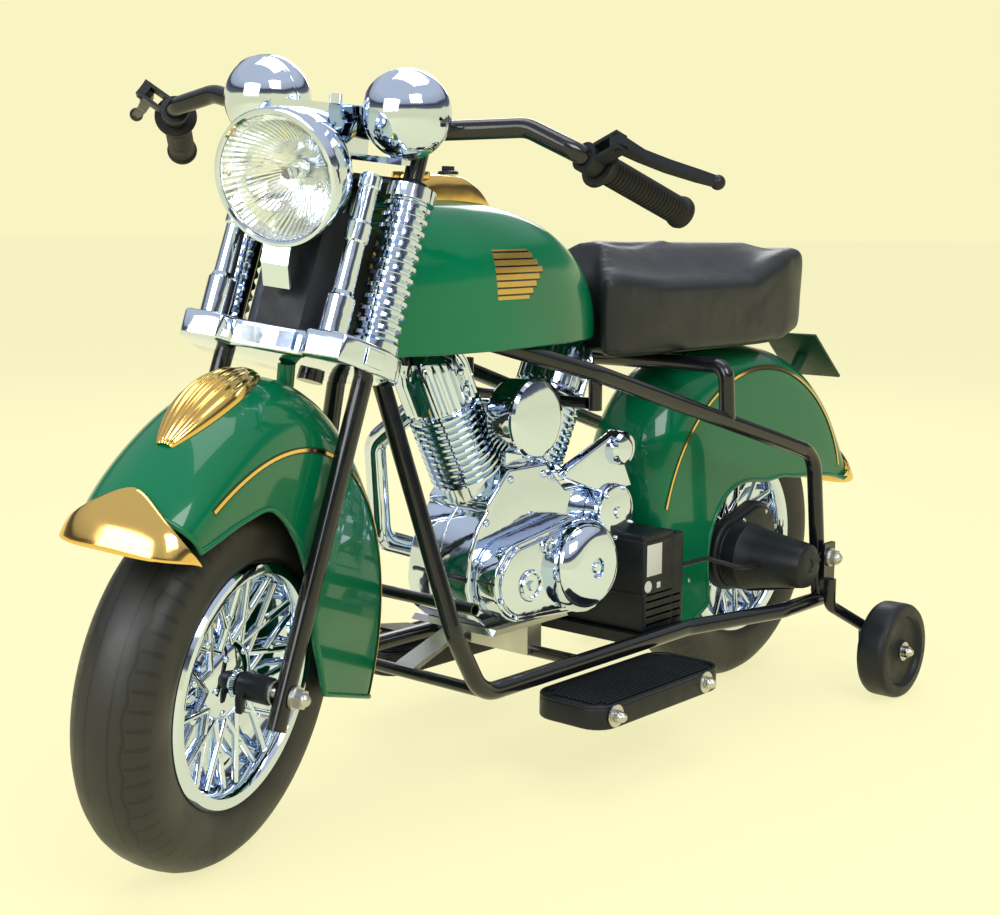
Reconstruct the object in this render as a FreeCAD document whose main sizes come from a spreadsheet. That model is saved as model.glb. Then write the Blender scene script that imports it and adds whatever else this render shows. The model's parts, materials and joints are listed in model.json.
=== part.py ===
"""Battery ride-on cruiser motorcycle for a child, with stabiliser wheels.

Row frame, millimetres: +X forward, +Y to the rider's left, +Z up.
The origin is the point of the ground under the rear axle.
The front assembly (fork, lamps, handlebar, fender) is drawn pointing straight ahead
and is then turned by steer_rest about the raked steering axis.
"""
import FreeCAD, Part
import Sketcher
import math
import os

V = FreeCAD.Vector
Rotation = FreeCAD.Rotation
Placement = FreeCAD.Placement

doc = FreeCAD.newDocument("RideOnMotorcycle")

# ---------------------------------------------------------------- driving dimensions
DIMENSIONS = [
    ("wheel_r", 180, "road wheel radius over the tread"),
    ("tyre_half", 41, "half width of a tyre"),
    ("tyre_wall", 6, "moulded tyre wall"),
    ("shoulder_drop", 17, "fall of the tread from crown to shoulder"),
    ("rim_r", 116.5, "radius of the rim's lip"),
    ("rim_wall", 5, "rim barrel wall"),
    ("hub_r", 27, "wheel hub radius"),
    ("hub_half", 30, "half length of the hub"),
    ("axle_r", 6, "road wheel axle radius"),
    ("run_gap", 0.05, "radial running clearance"),
    ("wheelbase", 864.5, "rear axle to front axle with the fork straight"),
    ("rake", 20, "steering axis lean from vertical, degrees"),
    ("trail_n", 40.3, "front axle ahead of the steering axis"),
    ("steer_rest", 19.5, "fork turned to the left at rest, degrees"),
    ("tube_r", 9.5, "frame, fork and handlebar tube radius"),
    ("tube_wall", 1.5, "tube wall"),
    ("thin_tube_r", 6.5, "cross tube radius"),
    ("rail_half", 110, "half width of the frame at the footboards"),
    ("rear_half", 150, "half width of the frame beside the rear wheel"),
    ("rail_z", 122, "height of the lower rails"),
    ("leg_half", 76, "half distance between the fork legs"),
    ("head_r", 17, "head tube outer radius"),
    ("stem_r", 12.95, "steering stem radius"),
    ("yoke_low", 301, "lower yoke bottom, along the steering axis"),
    ("yoke_thick", 26, "lower yoke thickness"),
    ("top_plate_low", 487, "upper yoke plate bottom, along the steering axis"),
    ("top_plate_thick", 6, "upper yoke plate thickness"),
    ("spring_r", 23, "spring cover radius over the ribs"),
    ("spring_pitch", 11.5, "spring cover rib pitch"),
    ("rod_half", 63, "half distance between the fork's bright rods"),
    ("rod_n", 97, "rods ahead of the steering axis"),
    ("spot_r", 42, "spot lamp ball radius"),
    ("lamp_r", 63, "headlamp rim radius"),
    ("lamp_depth", 78, "headlamp shell depth"),
    ("lamp_dip", 11.5, "headlamp turned down, degrees"),
    ("grip_r", 14, "grip radius"),
    ("grip_length", 128, "grip length"),
    ("side_wheel_r", 60.3, "stabiliser wheel radius"),
    ("side_wheel_wide", 38, "stabiliser wheel width"),
    ("side_wheel_face", 249, "outer face of a stabiliser wheel from the middle plane"),
    ("side_wheel_back", 57, "stabiliser axle behind the rear axle"),
    ("side_axle_r", 5, "stabiliser axle radius"),
    ("tank_half", 91, "half width of the fuel tank shell"),
    ("panel_wall", 4, "wall of the moulded panels"),
    ("seat_low", 449, "underside of the seat pad"),
    ("seat_top", 572, "top of the seat pad"),
    ("cylinder_r", 41, "engine cylinder radius over the fins"),
    ("vee_x", 448, "crankshaft centre, x"),
    ("vee_z", 228, "crankshaft centre, height"),
    ("vee_lean", 27, "lean of each engine cylinder, degrees"),
    ("gear_module", 1.25, "gear module"),
    ("gear_wide", 9, "gear face width"),
    ("motor_x", 50, "motor axis ahead of the rear axle"),
    ("motor_z", 176, "motor axis height"),
    ("board_top", 105, "footboard top height"),
    ("board_thick", 27, "footboard thickness"),
]
sheet = doc.addObject("Spreadsheet::Sheet", "dims")
for row, (alias, value, note) in enumerate(DIMENSIONS, start=1):
    sheet.set(f"A{row}", note)
    sheet.set(f"B{row}", str(value))
    sheet.setAlias(f"B{row}", alias)
doc.recompute()


def size(alias):
    """Value of one driving dimension."""
    return float(sheet.get(alias))


# ---------------------------------------------------------------- frames of reference
RAKE = math.radians(size("rake"))
AXIS = V(-math.sin(RAKE), 0, math.cos(RAKE))
AHEAD = V(math.cos(RAKE), 0, math.sin(RAKE))
FRONT_AXLE = V(size("wheelbase"), 0, size("wheel_r"))
AXIS_FOOT = FRONT_AXLE - AHEAD * size("trail_n")
REAR_AXLE = V(0, 0, size("wheel_r"))
STEER = Placement(V(0, 0, 0), Rotation(AXIS, size("steer_rest")), AXIS_FOOT)
ALONG_Y = Rotation(V(1, 0, 0), -90)
nodes = []


def fork_at(n, y, s):
    """Point n ahead of the steering axis, y to the left and s up along it."""
    return AXIS_FOOT + AHEAD * n + V(0, y, 0) + AXIS * s


FORK_FRAME = Placement(AXIS_FOOT, Rotation(V(0, 1, 0), -size("rake")))


def keep(obj, label, placement=None):
    """Give a sub-part its label and place and list it for export."""
    obj.Label = label
    if placement is not None:
        obj.Placement = placement
    nodes.append(obj)
    return obj


def shape_part(label, shape, placement=None):
    """A sub-part whose shape is worked out here from the sheet's sizes."""
    feature = doc.addObject("Part::Feature", label)
    feature.Shape = shape
    return keep(feature, label, placement)


def group(solids):
    """Separate solids kept together."""
    flat = []
    for shape in solids:
        flat.extend(shape.Solids)
    return Part.makeCompound(flat)


def largest(shape):
    """The biggest solid of a shape: what is left of a tube once its end is coped."""
    return max(shape.Solids, key=lambda solid: solid.Volume)


def turned(label, profile, placement=None, angle=360):
    """Body turned about its own Z axis from a closed outline of (radius, height) expressions."""
    body = doc.addObject("PartDesign::Body", label)
    sketch = body.newObject("Sketcher::SketchObject", label + "_outline")
    plane = [o for o in body.Origin.OriginFeatures if o.Role == "XZ_Plane"][0]
    sketch.AttachmentSupport = [(plane, "")]
    sketch.MapMode = "FlatFace"
    count = len(profile)
    ring = [V(60 + 40 * math.cos(2 * math.pi * i / count), 40 * math.sin(2 * math.pi * i / count), 0)
            for i in range(count)]
    for i in range(count):
        sketch.addGeometry(Part.LineSegment(ring[i], ring[(i + 1) % count]))
    for i in range(count):
        sketch.addConstraint(Sketcher.Constraint("Coincident", i, 2, (i + 1) % count, 1))
    for i, (radius, height) in enumerate(profile):
        across = sketch.addConstraint(Sketcher.Constraint("DistanceX", -1, 1, i, 1, ring[i].x))
        up = sketch.addConstraint(Sketcher.Constraint("DistanceY", -1, 1, i, 1, ring[i].y))
        sketch.setExpression(f"Constraints[{across}]", radius)
        sketch.setExpression(f"Constraints[{up}]", height)
    turn = body.newObject("PartDesign::Revolution", label + "_turn")
    turn.Profile = sketch
    turn.ReferenceAxis = (sketch, ["V_Axis"])
    turn.Angle = angle
    turn.Midplane = True
    body.Tip = turn
    return keep(body, label, placement)


def rod(start, end, radius):
    """Round bar between two points."""
    line = end - start
    return Part.makeCylinder(radius, line.Length, start, line)


def ring(start, end, outer, inner):
    """Round sleeve between two points."""
    return rod(start, end, outer).cut(rod(start, end, inner))


def bend_route(points, bend_r):
    """Wire of straight runs joined by tangent arcs."""
    edges = []
    last = points[0]
    for before, corner, after in zip(points, points[1:], points[2:]):
        back = (before - corner).normalize()
        on = (after - corner).normalize()
        half = back.getAngle(on) / 2
        reach = bend_r / math.tan(half)
        first = corner + back * reach
        final = corner + on * reach
        middle = (back + on).normalize()
        crown = corner + middle * (bend_r / math.sin(half) - bend_r)
        edges.append(Part.LineSegment(last, first).toShape())
        edges.append(Part.Arc(first, crown, final).toShape())
        last = final
    edges.append(Part.LineSegment(last, points[-1]).toShape())
    return Part.Wire(edges)


def sweep_round(route, radius):
    """Solid of a circle carried along a route."""
    start = route.Edges[0].firstVertex().Point
    along = route.Edges[0].tangentAt(route.Edges[0].FirstParameter)
    circle = Part.Wire(Part.makeCircle(radius, start, along))
    return route.makePipeShell([circle], True, True)


def tube(points, radius=None, bend_r=45, solid=False):
    """Bent tube; solid leaves its bore out, for use as a coping tool."""
    radius = radius or size("tube_r")
    route = bend_route(points, bend_r)
    outside = sweep_round(route, radius)
    if solid:
        return outside
    return outside.cut(sweep_round(route, radius - size("tube_wall")))


def mirrored(shape):
    """The same shape on the other side of the middle plane."""
    return shape.mirror(V(0, 0, 0), V(0, 1, 0))


def coped(shape, *others):
    """Shape with its ends cut to sit against other pieces."""
    for other in others:
        shape = largest(shape.cut(other))
    return shape


def prism(points, direction):
    """Flat outline pushed along a vector."""
    face = Part.Face(Part.makePolygon(points + [points[0]]))
    return face.extrude(direction)


def hexagon(centre, axis, across, thick):
    """Hexagonal nut or bolt head."""
    radius = across / math.sqrt(3)
    blank = prism([V(radius * math.cos(math.radians(60 * i)), radius * math.sin(math.radians(60 * i)), 0)
                   for i in range(6)], V(0, 0, thick))
    blank.Placement = Placement(centre, Rotation(V(0, 0, 1), axis))
    return blank


# ---------------------------------------------------------------- road wheels
def crown_outline(count=5):
    """Tread points from one shoulder to the other: the fall grows with the cube of the width."""
    points = []
    for i in range(-count, count + 1):
        k = i / count
        points.append((f"dims.wheel_r - dims.shoulder_drop * {abs(k) ** 3:.4f}", f"dims.tyre_half * {k:.2f}"))
    return points


def wheel(end, centre, placement):
    """Tyre and rim of one road wheel, turned about the axle."""
    place = placement.multiply(Placement(centre, ALONG_Y))
    bead = "dims.tyre_half - dims.tyre_wall"
    inner = "dims.rim_r + 0.2"
    roof = "dims.wheel_r - dims.shoulder_drop - dims.tyre_wall"
    outline = crown_outline() + [(inner, "dims.tyre_half"), (inner, bead), (roof, bead),
                                 (roof, f"-({bead})"), (inner, f"-({bead})"), (inner, "-dims.tyre_half")]
    turned(f"{end}_tyre", outline, place)
    barrel = "dims.rim_r - dims.rim_wall"
    web = 5
    outline = [("dims.rim_r", "dims.tyre_half"), ("dims.rim_r", "-dims.tyre_half"),
               (barrel, "-dims.tyre_half"), (barrel, f"-{web}"), ("dims.hub_r", f"-{web}"),
               ("dims.hub_r", "-dims.hub_half"), ("dims.axle_r + dims.run_gap", "-dims.hub_half"),
               ("dims.axle_r + dims.run_gap", "dims.hub_half"), ("dims.hub_r", "dims.hub_half"),
               ("dims.hub_r", f"{web}"), (barrel, f"{web}"), (barrel, "dims.tyre_half")]
    turned(f"{end}_rim", outline, place)


wheel("front", FRONT_AXLE, STEER)
wheel("rear", REAR_AXLE, Placement())


# ---------------------------------------------------------------- frame tubes
def head_tube_ends():
    """Lower and upper end of the tube that holds the steering stem."""
    low = fork_at(0, 0, size("yoke_low") + size("yoke_thick") + 3)
    high = fork_at(0, 0, size("top_plate_low") - 3)
    return low, high


HEAD_LOW, HEAD_HIGH = head_tube_ends()
head_solid = rod(HEAD_LOW, HEAD_HIGH, size("head_r"))
shape_part("head_tube", ring(HEAD_LOW, HEAD_HIGH, size("head_r"), size("stem_r") + size("run_gap")))

REAR_HALF = size("rear_half")
RAIL_HALF = size("rail_half")
RAIL_Z = size("rail_z")
LOWER_ROUTE = [fork_at(0, 4, 350), V(660, 28, 452), V(636, RAIL_HALF, 190), V(596, RAIL_HALF, RAIL_Z),
               V(230, RAIL_HALF, RAIL_Z), V(80, REAR_HALF, RAIL_Z), V(-24, REAR_HALF, RAIL_Z)]
UPPER_ROUTE = [V(-9, REAR_HALF, RAIL_Z), V(15, REAR_HALF, 312), V(410, 108, 437), V(555, 50, 482),
               fork_at(0, 4, 388)]
REAR_AXLE_HALF = 180
rear_axle_solid = rod(V(0, -REAR_AXLE_HALF, size("wheel_r")), V(0, REAR_AXLE_HALF, size("wheel_r")),
                      size("axle_r"))
lower_solid = tube(LOWER_ROUTE, bend_r=40, solid=True)
lower_rail = coped(tube(LOWER_ROUTE, bend_r=40), head_solid)
upper_solid = tube(UPPER_ROUTE, bend_r=40, solid=True)
upper_rail = coped(tube(UPPER_ROUTE, bend_r=40), head_solid, lower_solid, rear_axle_solid)
shape_part("lower_rails", group([lower_rail, coped(mirrored(lower_rail), lower_rail)]))
shape_part("upper_rails", group([upper_rail, coped(mirrored(upper_rail), upper_rail)]))


def cross_bar(x, z, radius, reach, *walls):
    """Straight tube across the frame, coped against the rails."""
    bar = ring(V(x, -reach, z), V(x, reach, z), radius, radius - size("tube_wall"))
    for wall in walls:
        pieces = bar.cut(wall).cut(mirrored(wall)).Solids
        bar = min(pieces, key=lambda solid: abs(solid.CenterOfMass.y))
    return bar


THIN = size("thin_tube_r")
CROSS_X = [430, 255]
FRONT_BAR_X = 606
cross_tubes = [cross_bar(FRONT_BAR_X, 212, THIN, RAIL_HALF, lower_solid),
               cross_bar(592, 124, THIN, RAIL_HALF, lower_solid)]
cross_tubes += [cross_bar(x, RAIL_Z, THIN, RAIL_HALF, lower_solid) for x in CROSS_X]
shape_part("cross_tubes", group(cross_tubes))

SEAT_PAN_LOW = size("seat_low") - 8
POST_REAR = V(186, 132, 360)
POST_FRONT_X = 392
POST_FRONT_Y = 94
CRADLE_Z = 394


def seat_posts():
    """Four posts under the seat, with a cradle of two braces and a cross bar ahead of the wheel."""
    rear_bar = tube([V(186, -70, SEAT_PAN_LOW - 10), V(186, 70, SEAT_PAN_LOW - 10)])
    rear = tube([POST_REAR, V(186, 128, SEAT_PAN_LOW - 10), V(186, 60, SEAT_PAN_LOW - 10)], bend_r=16)
    rear = coped(rear, upper_solid, rear_bar.Solids[0])
    front = ring(V(POST_FRONT_X, POST_FRONT_Y, CRADLE_Z), V(POST_FRONT_X, POST_FRONT_Y, SEAT_PAN_LOW),
                 THIN + 1, THIN - 0.5)
    front = coped(front, upper_solid)
    bar = ring(V(POST_FRONT_X, -POST_FRONT_Y + 9, CRADLE_Z + 7), V(POST_FRONT_X, POST_FRONT_Y - 9, CRADLE_Z + 7),
               THIN, THIN - 1.5)
    return [rear_bar, rear, mirrored(rear), front, mirrored(front), bar]


shape_part("seat_posts", group(seat_posts()))

# ---------------------------------------------------------------- rear axle and stabilisers
WHEEL_Z = size("wheel_r")


def axle_end(centre, outwards, radius, washer_r=11.5, nut_across=17):
    """Washer, nut and domed end on an axle."""
    washer = ring(centre, centre + outwards * 2.5, washer_r, radius)
    nut = hexagon(centre + outwards * 2.5, outwards, nut_across, 8)
    nut = nut.cut(rod(centre, centre + outwards * 20, radius))
    dome = Part.makeSphere(radius + 0.5, centre + outwards * 10.5)
    dome = dome.common(rod(centre + outwards * 10.5, centre + outwards * 20, 20))
    return [washer, nut, dome]


SPACERS = [(-139, -31), (87, 139)]
LUG_Y = 163
LUG_THICK = 6


def rear_axle():
    """Axle rod with spacers against the wheel, sleeves outside the frame and acorn nuts."""
    end = LUG_Y + LUG_THICK + 0.5
    pieces = [rod(V(0, -end - 10.5, WHEEL_Z), V(0, end + 10.5, WHEEL_Z), size("axle_r"))]
    for inner, outer in SPACERS:
        pieces.append(ring(V(0, inner, WHEEL_Z), V(0, outer, WHEEL_Z), 7.9, size("axle_r")))
    for side in (-1, 1):
        pieces.append(ring(V(0, 159.8 * side, WHEEL_Z), V(0, (LUG_Y - 0.5) * side, WHEEL_Z), 9.5, size("axle_r")))
        pieces.extend(axle_end(V(0, end * side, WHEEL_Z), V(0, side, 0), size("axle_r")))
    return group(pieces)


shape_part("rear_axle", rear_axle())
ARM_Y = 197
SIDE_INNER = size("side_wheel_face") - size("side_wheel_wide")
SIDE_X = -size("side_wheel_back")
SIDE_Z = size("side_wheel_r")


def stabiliser_arm():
    """Flat lug on the rear axle, bent arm and the stub that carries the small wheel."""
    lug = Part.makeBox(26, LUG_THICK, 62, V(-13, LUG_Y, 136))
    lug_run = LUG_Y + 8
    route = [V(0, lug_run, 152), V(0, lug_run, 118), V(-54, ARM_Y - 5, 84), V(SIDE_X, ARM_Y - 5, SIDE_Z - 12)]
    arm = sweep_round(bend_route(route, 12), 7.5)
    stub = rod(V(SIDE_X, ARM_Y - 5, SIDE_Z), V(SIDE_X, size("side_wheel_face") + 6, SIDE_Z), size("side_axle_r"))
    spacer = ring(V(SIDE_X, ARM_Y, SIDE_Z), V(SIDE_X, SIDE_INNER - 0.6, SIDE_Z), 8.5, size("side_axle_r"))
    arm = arm.fuse([lug, stub]).cut(rear_axle_solid)
    spacer = largest(spacer.cut(arm))
    tip = V(SIDE_X, size("side_wheel_face") - 6, SIDE_Z)
    washer, nut, dome = axle_end(tip + V(0, 0.5, 0), V(0, 1, 0), size("side_axle_r"), 10, 13)
    return group([arm, spacer, washer, nut, dome])


left_arm = stabiliser_arm()
shape_part("stabiliser_arms", group([left_arm, mirrored(left_arm)]))

side_half = "dims.side_wheel_wide / 2"
side_dish = "(dims.side_wheel_wide / 2 - 7)"
SIDE_OUTLINE = [("dims.side_wheel_r - 3", f"-{side_half}"), ("dims.side_wheel_r", f"-{side_half} + 4"),
                ("dims.side_wheel_r", f"{side_half} - 4"), ("dims.side_wheel_r - 3", side_half),
                ("dims.side_wheel_r - 16", side_half), ("dims.side_wheel_r - 20", side_dish),
                ("20", side_dish), ("17", f"{side_dish} + 1"), ("dims.side_axle_r + dims.run_gap", f"{side_dish} + 1"),
                ("dims.side_axle_r + dims.run_gap", f"-{side_half}"), ("17", f"-{side_half}"),
                ("18", f"-{side_half} + 8"), ("dims.side_wheel_r - 18", f"-{side_half} + 8"),
                ("dims.side_wheel_r - 16", f"-{side_half}")]
for side, name in ((1, "left"), (-1, "right")):
    middle = size("side_wheel_face") - size("side_wheel_wide") / 2
    turned(f"{name}_stabiliser_wheel", SIDE_OUTLINE,
           Placement(V(SIDE_X, side * middle, SIDE_Z), Rotation(V(1, 0, 0), -90 * side)))


# ---------------------------------------------------------------- loft helper for moulded panels
def panel_section(centre, angle, crown_r, skirt_r, half, shoulder, inset):
    """Arch-shaped ring of points in the half plane at an angle round an axle."""
    outward = V(math.cos(math.radians(angle)), 0, math.sin(math.radians(angle)))
    rise = crown_r - inset - shoulder
    side = [(half - inset, skirt_r), (half - inset, (skirt_r + shoulder) / 2)]
    steps = 6
    arch = []
    for i in range(steps + 1):
        turn = math.pi / 2 * i / steps
        arch.append(((half - inset) * math.cos(turn), shoulder + rise * math.sin(turn)))
    right = side + arch
    left = [(-y, r) for y, r in reversed(right[:-1])]
    return [centre + outward * r + V(0, y, 0) for y, r in right + left]


def fender(centre, stations, wall):
    """Moulded fender: an outer skin less an inner one, both lofted through arch sections.

    A station is angle, crown radius, skirt radius, half width and shoulder radius.
    """
    skins = []
    for inset in (0, wall):
        wires = []
        for angle, crown_r, skirt_r, half, shoulder in stations:
            points = panel_section(centre, angle, crown_r, skirt_r - inset * 2, half, shoulder, inset)
            wires.append(Part.makePolygon(points + [points[0]]))
        skins.append(Part.makeLoft(wires, True, False))
    return largest(skins[0].cut(skins[1]))


FRONT_FENDER = [(51, 247, 205, 58, 212), (58, 252, 196, 60, 214), (70, 262, 186, 61, 217), (82, 275, 178, 61, 220),
                (95, 283, 152, 61, 221), (108, 281, 128, 61, 221), (120, 270, 110, 61, 221), (134, 254, 96, 61, 220),
                (150, 242, 86, 61, 220), (166, 236, 84, 61, 220), (182, 233, 94, 61, 220), (198, 230, 112, 61, 220)]
REAR_FENDER = [(-27, 208, 122, 62, 192), (-12, 214, 116, 62, 198), (4, 223, 114, 62, 206), (20, 246, 112, 62, 218),
               (36, 276, 108, 62, 228), (52, 290, 102, 62, 230), (70, 276, 92, 62, 226), (90, 262, 84, 62, 222),
               (108, 262, 86, 62, 222), (125, 264, 102, 62, 222), (140, 266, 124, 62, 222), (153, 270, 168, 61, 224),
               (165, 278, 236, 58, 242)]
front_fender = fender(FRONT_AXLE, FRONT_FENDER, size("panel_wall"))
rear_fender = fender(REAR_AXLE, REAR_FENDER, size("panel_wall"))
POST_FOOT = fork_at(37, 0, 265)
post = rod(POST_FOOT, fork_at(52, 0, size("yoke_low")), 8.5)
post = largest(post.cut(front_fender))
shape_part("front_fender", largest(front_fender.fuse(post)), STEER)
shape_part("rear_fender", rear_fender)


# ---------------------------------------------------------------- fork
FORK_PLACE = STEER.multiply(FORK_FRAME)
LEG_N = size("trail_n")
LEG_Y = size("leg_half")
YOKE_LOW = size("yoke_low")
YOKE_TOP = YOKE_LOW + size("yoke_thick")
PLATE_LOW = size("top_plate_low")
TUBE_R = size("tube_r")


def spun(profile, centre=V(0, 0, 0), axis=V(0, 0, 1), angle=360):
    """Solid of revolution from a closed (radius, height) outline."""
    face = Part.Face(Part.makePolygon([V(r, 0, z) for r, z in profile + profile[:1]]))
    solid = face.revolve(V(0, 0, 0), V(0, 0, 1), angle)
    solid.transformShape(Placement(centre, Rotation(V(0, 0, 1), axis)).toMatrix())
    return solid


BAR_GRIP_IN = V(652, 223, 688)
BAR_GRIP_OUT = V(524, 294, 638)
BAR_HALF = [V(688, 45, 688), V(672, 110, 697), V(658, 172, 706), BAR_GRIP_IN, BAR_GRIP_OUT]
BAR_ROUTE = [V(p.x, -p.y, p.z) for p in reversed(BAR_HALF)] + BAR_HALF
bar_solid = tube(BAR_ROUTE, bend_r=28, solid=True)
bar_solid_fork = bar_solid.copy()
bar_solid_fork.Placement = FORK_FRAME.inverse().multiply(bar_solid.Placement)
shape_part("handlebar", tube(BAR_ROUTE, bend_r=28), STEER)


def fork_leg(side):
    """Straight tube from below the front axle up to the handlebar."""
    foot = V(LEG_N, side * LEG_Y, -33)
    top = V(LEG_N, side * LEG_Y, 541)
    leg = ring(foot, top, TUBE_R, TUBE_R - size("tube_wall"))
    leg = leg.cut(rod(V(LEG_N, -200, 0), V(LEG_N, 200, 0), size("axle_r")))
    return coped(leg, bar_solid_fork)


LEG_HOLES = [rod(V(LEG_N, side * LEG_Y, 0), V(LEG_N, side * LEG_Y, 560), TUBE_R) for side in (-1, 1)]
shape_part("fork_legs", group([fork_leg(1), fork_leg(-1)]), FORK_PLACE)


def plan_plate(half_outline, low, thick):
    """Plate across the steering axis, from the left half of its outline."""
    points = [V(n, y, low) for n, y in half_outline]
    points += [V(n, -y, low) for n, y in reversed(half_outline)]
    return prism(points, V(0, 0, thick))


YOKE_HALF = [(98, 38), (112, 45), (112, 84), (98, 93), (58, 106), (24, 104), (14, 92), (-20, 24)]
yoke = plan_plate(YOKE_HALF, YOKE_LOW, size("yoke_thick"))
stem_hole = rod(V(0, 0, YOKE_LOW - 10), V(0, 0, 520), size("stem_r"))


def in_fork_frame(shape):
    """A shape of the straight-ahead fork moved into the frame the fork pieces are drawn in."""
    moved = shape.copy()
    moved.Placement = FORK_FRAME.inverse().multiply(shape.Placement)
    return moved


yoke = yoke.cut(Part.makeCompound(LEG_HOLES + [stem_hole]))
shape_part("lower_yoke", coped(yoke, in_fork_frame(front_fender), in_fork_frame(post)), FORK_PLACE)

PLATE_HALF = [(52, 60), (56, 88), (40, 92), (24, 88), (-19, 14)]


def steering_stem():
    """Stem with the upper plate and its nut; it turns in the head tube."""
    plate = plan_plate(PLATE_HALF, PLATE_LOW, size("top_plate_thick"))
    stem = rod(V(0, 0, YOKE_LOW - 6), V(0, 0, PLATE_LOW + 12), size("stem_r"))
    nut = hexagon(V(0, 0, PLATE_LOW + size("top_plate_thick")), V(0, 0, 1), 32, 10)
    return largest(stem.fuse(plate).fuse(nut).cut(Part.makeCompound(LEG_HOLES)))


shape_part("steering_stem", steering_stem(), FORK_PLACE)

SPRING_Y = LEG_Y + 2
SPRING_LOW = YOKE_TOP + 9
SPRING_RIBS = 12


def spring_cover():
    """Ribbed half shell outside a fork leg, between two plain spring seats."""
    pitch = size("spring_pitch")
    outer = size("spring_r")
    valley = outer - 4
    profile = [(14, SPRING_LOW)]
    for rib in range(SPRING_RIBS):
        base = SPRING_LOW + rib * pitch
        profile += [(valley, base), (outer, base + 3), (outer, base + 6.5), (valley, base + 9.5)]
    top = SPRING_LOW + SPRING_RIBS * pitch
    profile += [(valley, top), (14, top)]
    shell = spun(profile, angle=236)
    shell.rotate(V(0, 0, 0), V(0, 0, 1), -118 + 72)
    shell.translate(V(LEG_N, SPRING_Y, 0))
    seats = []
    for low, high in ((YOKE_TOP, SPRING_LOW - 0.3), (top + 0.3, PLATE_LOW)):
        seat = rod(V(LEG_N, SPRING_Y, low), V(LEG_N, SPRING_Y, high), outer + 1)
        seats.append(seat.cut(LEG_HOLES[1]))
    return [shell] + seats


left_spring = spring_cover()
shape_part("spring_covers", group(left_spring + [mirrored(s) for s in left_spring]), FORK_PLACE)

ROD_STEPS = [(0, 0), (13.5, 0), (13.5, 34), (11.5, 36), (10, 40), (9.5, 86), (11.5, 88), (11.5, 104),
             (9.5, 107), (9, 138), (10.5, 140), (10.5, 149), (8.5, 152), (0, 152)]
fork_rods = [spun(ROD_STEPS, V(size("rod_n"), side * size("rod_half"), YOKE_TOP)) for side in (-1, 1)]
shape_part("fork_rods", group(fork_rods), FORK_PLACE)


def column_cover():
    """Moulded box between the rods that hides the steering head, open at the back."""
    skins = []
    for inset in (0, 3):
        half = 47 - inset
        front = 88 - inset
        points = [V(26, half, 0), V(62, half, 0), V(front, half - 24, 0), V(front, -half + 24, 0),
                  V(62, -half, 0), V(26, -half, 0)]
        low = YOKE_TOP + 0.3 + inset
        skin = prism([p + V(0, 0, low) for p in points], V(0, 0, 118 - 2 * inset))
        skins.append(skin)
    skins[1].translate(V(-4, 0, 0))
    return largest(skins[0].cut(skins[1]))


column = column_cover()


def front_axle():
    """Front axle with sleeves against the hub, washers and acorn nuts outside the legs."""
    centre = V(LEG_N, 0, 0)
    reach = LEG_Y + TUBE_R
    pieces = [rod(centre - V(0, reach + 13, 0), centre + V(0, reach + 13, 0), size("axle_r"))]
    for side in (-1, 1):
        out = V(0, side, 0)
        pieces.append(ring(centre + out * 30.6, centre + out * 62, 11, size("axle_r")))
        flat = ring(centre + out * 62, centre + out * 66.5, 11, size("axle_r"))
        pieces.append(largest(flat.cut(LEG_HOLES[0]).cut(LEG_HOLES[1])))
        pieces.extend(axle_end(centre + out * (reach + 0.1), out, size("axle_r")))
    return group(pieces)


shape_part("front_axle", front_axle(), FORK_PLACE)

# ---------------------------------------------------------------- lamps
LAMP_CENTRE = V(820.7, 0, 638.6)
DIP = math.radians(size("lamp_dip"))
LAMP_FACING = V(math.cos(DIP), 0, -math.sin(DIP))
LAMP_R = size("lamp_r")
LAMP_BACK = -size("lamp_depth")
SHELL_OUTSIDE = [(0, 4), (5, 19), (9, 40), (21, 60), (40, 74)]
SHELL_INSIDE = [(42, 71), (24, 57), (12, 38), (8, 18)]


def lamp_point(inset, back):
    """Outline point a distance in from the headlamp rim and back from its face."""
    return f"dims.lamp_r - {inset}", f"-{back}"


SHELL = [("dims.lamp_r - 6", "4"), ("dims.lamp_r", "4"), ("dims.lamp_r", "-13")]
SHELL += [lamp_point(*pair) for pair in SHELL_OUTSIDE[1:]]
SHELL += [("0", "-dims.lamp_depth"), ("0", "3 - dims.lamp_depth")]
SHELL += [lamp_point(*pair) for pair in SHELL_INSIDE]
BOWL = [("dims.lamp_r - 9", "-3.5"), ("dims.lamp_r - 9", "-6"), ("10", "-44"), ("0", "-44"), ("0", "-42"),
        ("9", "-42")]
LENS = [("0", "6"), ("dims.lamp_r / 2", "4.5"), ("dims.lamp_r - 7.2", "1"), ("dims.lamp_r - 7.2", "-2"),
        ("0", "-2")]
lamp_block = [(0, 4), (LAMP_R, 4), (LAMP_R, -13)]
lamp_block += [(LAMP_R - inset, -back) for inset, back in SHELL_OUTSIDE[1:]] + [(0, LAMP_BACK)]
headlamp_solid = spun(lamp_block, LAMP_CENTRE, LAMP_FACING)
LAMP_PLACE = STEER.multiply(Placement(LAMP_CENTRE, Rotation(V(0, 0, 1), LAMP_FACING)))
for label, outline in (("headlamp_shell", SHELL), ("headlamp_reflector", BOWL), ("headlamp_lens", LENS)):
    turned(label, outline, LAMP_PLACE)
SPOT = V(716.5, 74.6, 706.9)
shape_part("column_cover", coped(column, in_fork_frame(headlamp_solid)), FORK_PLACE)
leg_room = [rod(fork_at(LEG_N, side * LEG_Y, 400), fork_at(LEG_N, side * LEG_Y, 560), TUBE_R) for side in (-1, 1)]
spots = [Part.makeSphere(size("spot_r"), V(SPOT.x, side * SPOT.y, SPOT.z)) for side in (-1, 1)]
spots = [coped(ball, bar_solid, *leg_room) for ball in spots]
shape_part("spot_lamps", group(spots), STEER)


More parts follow.
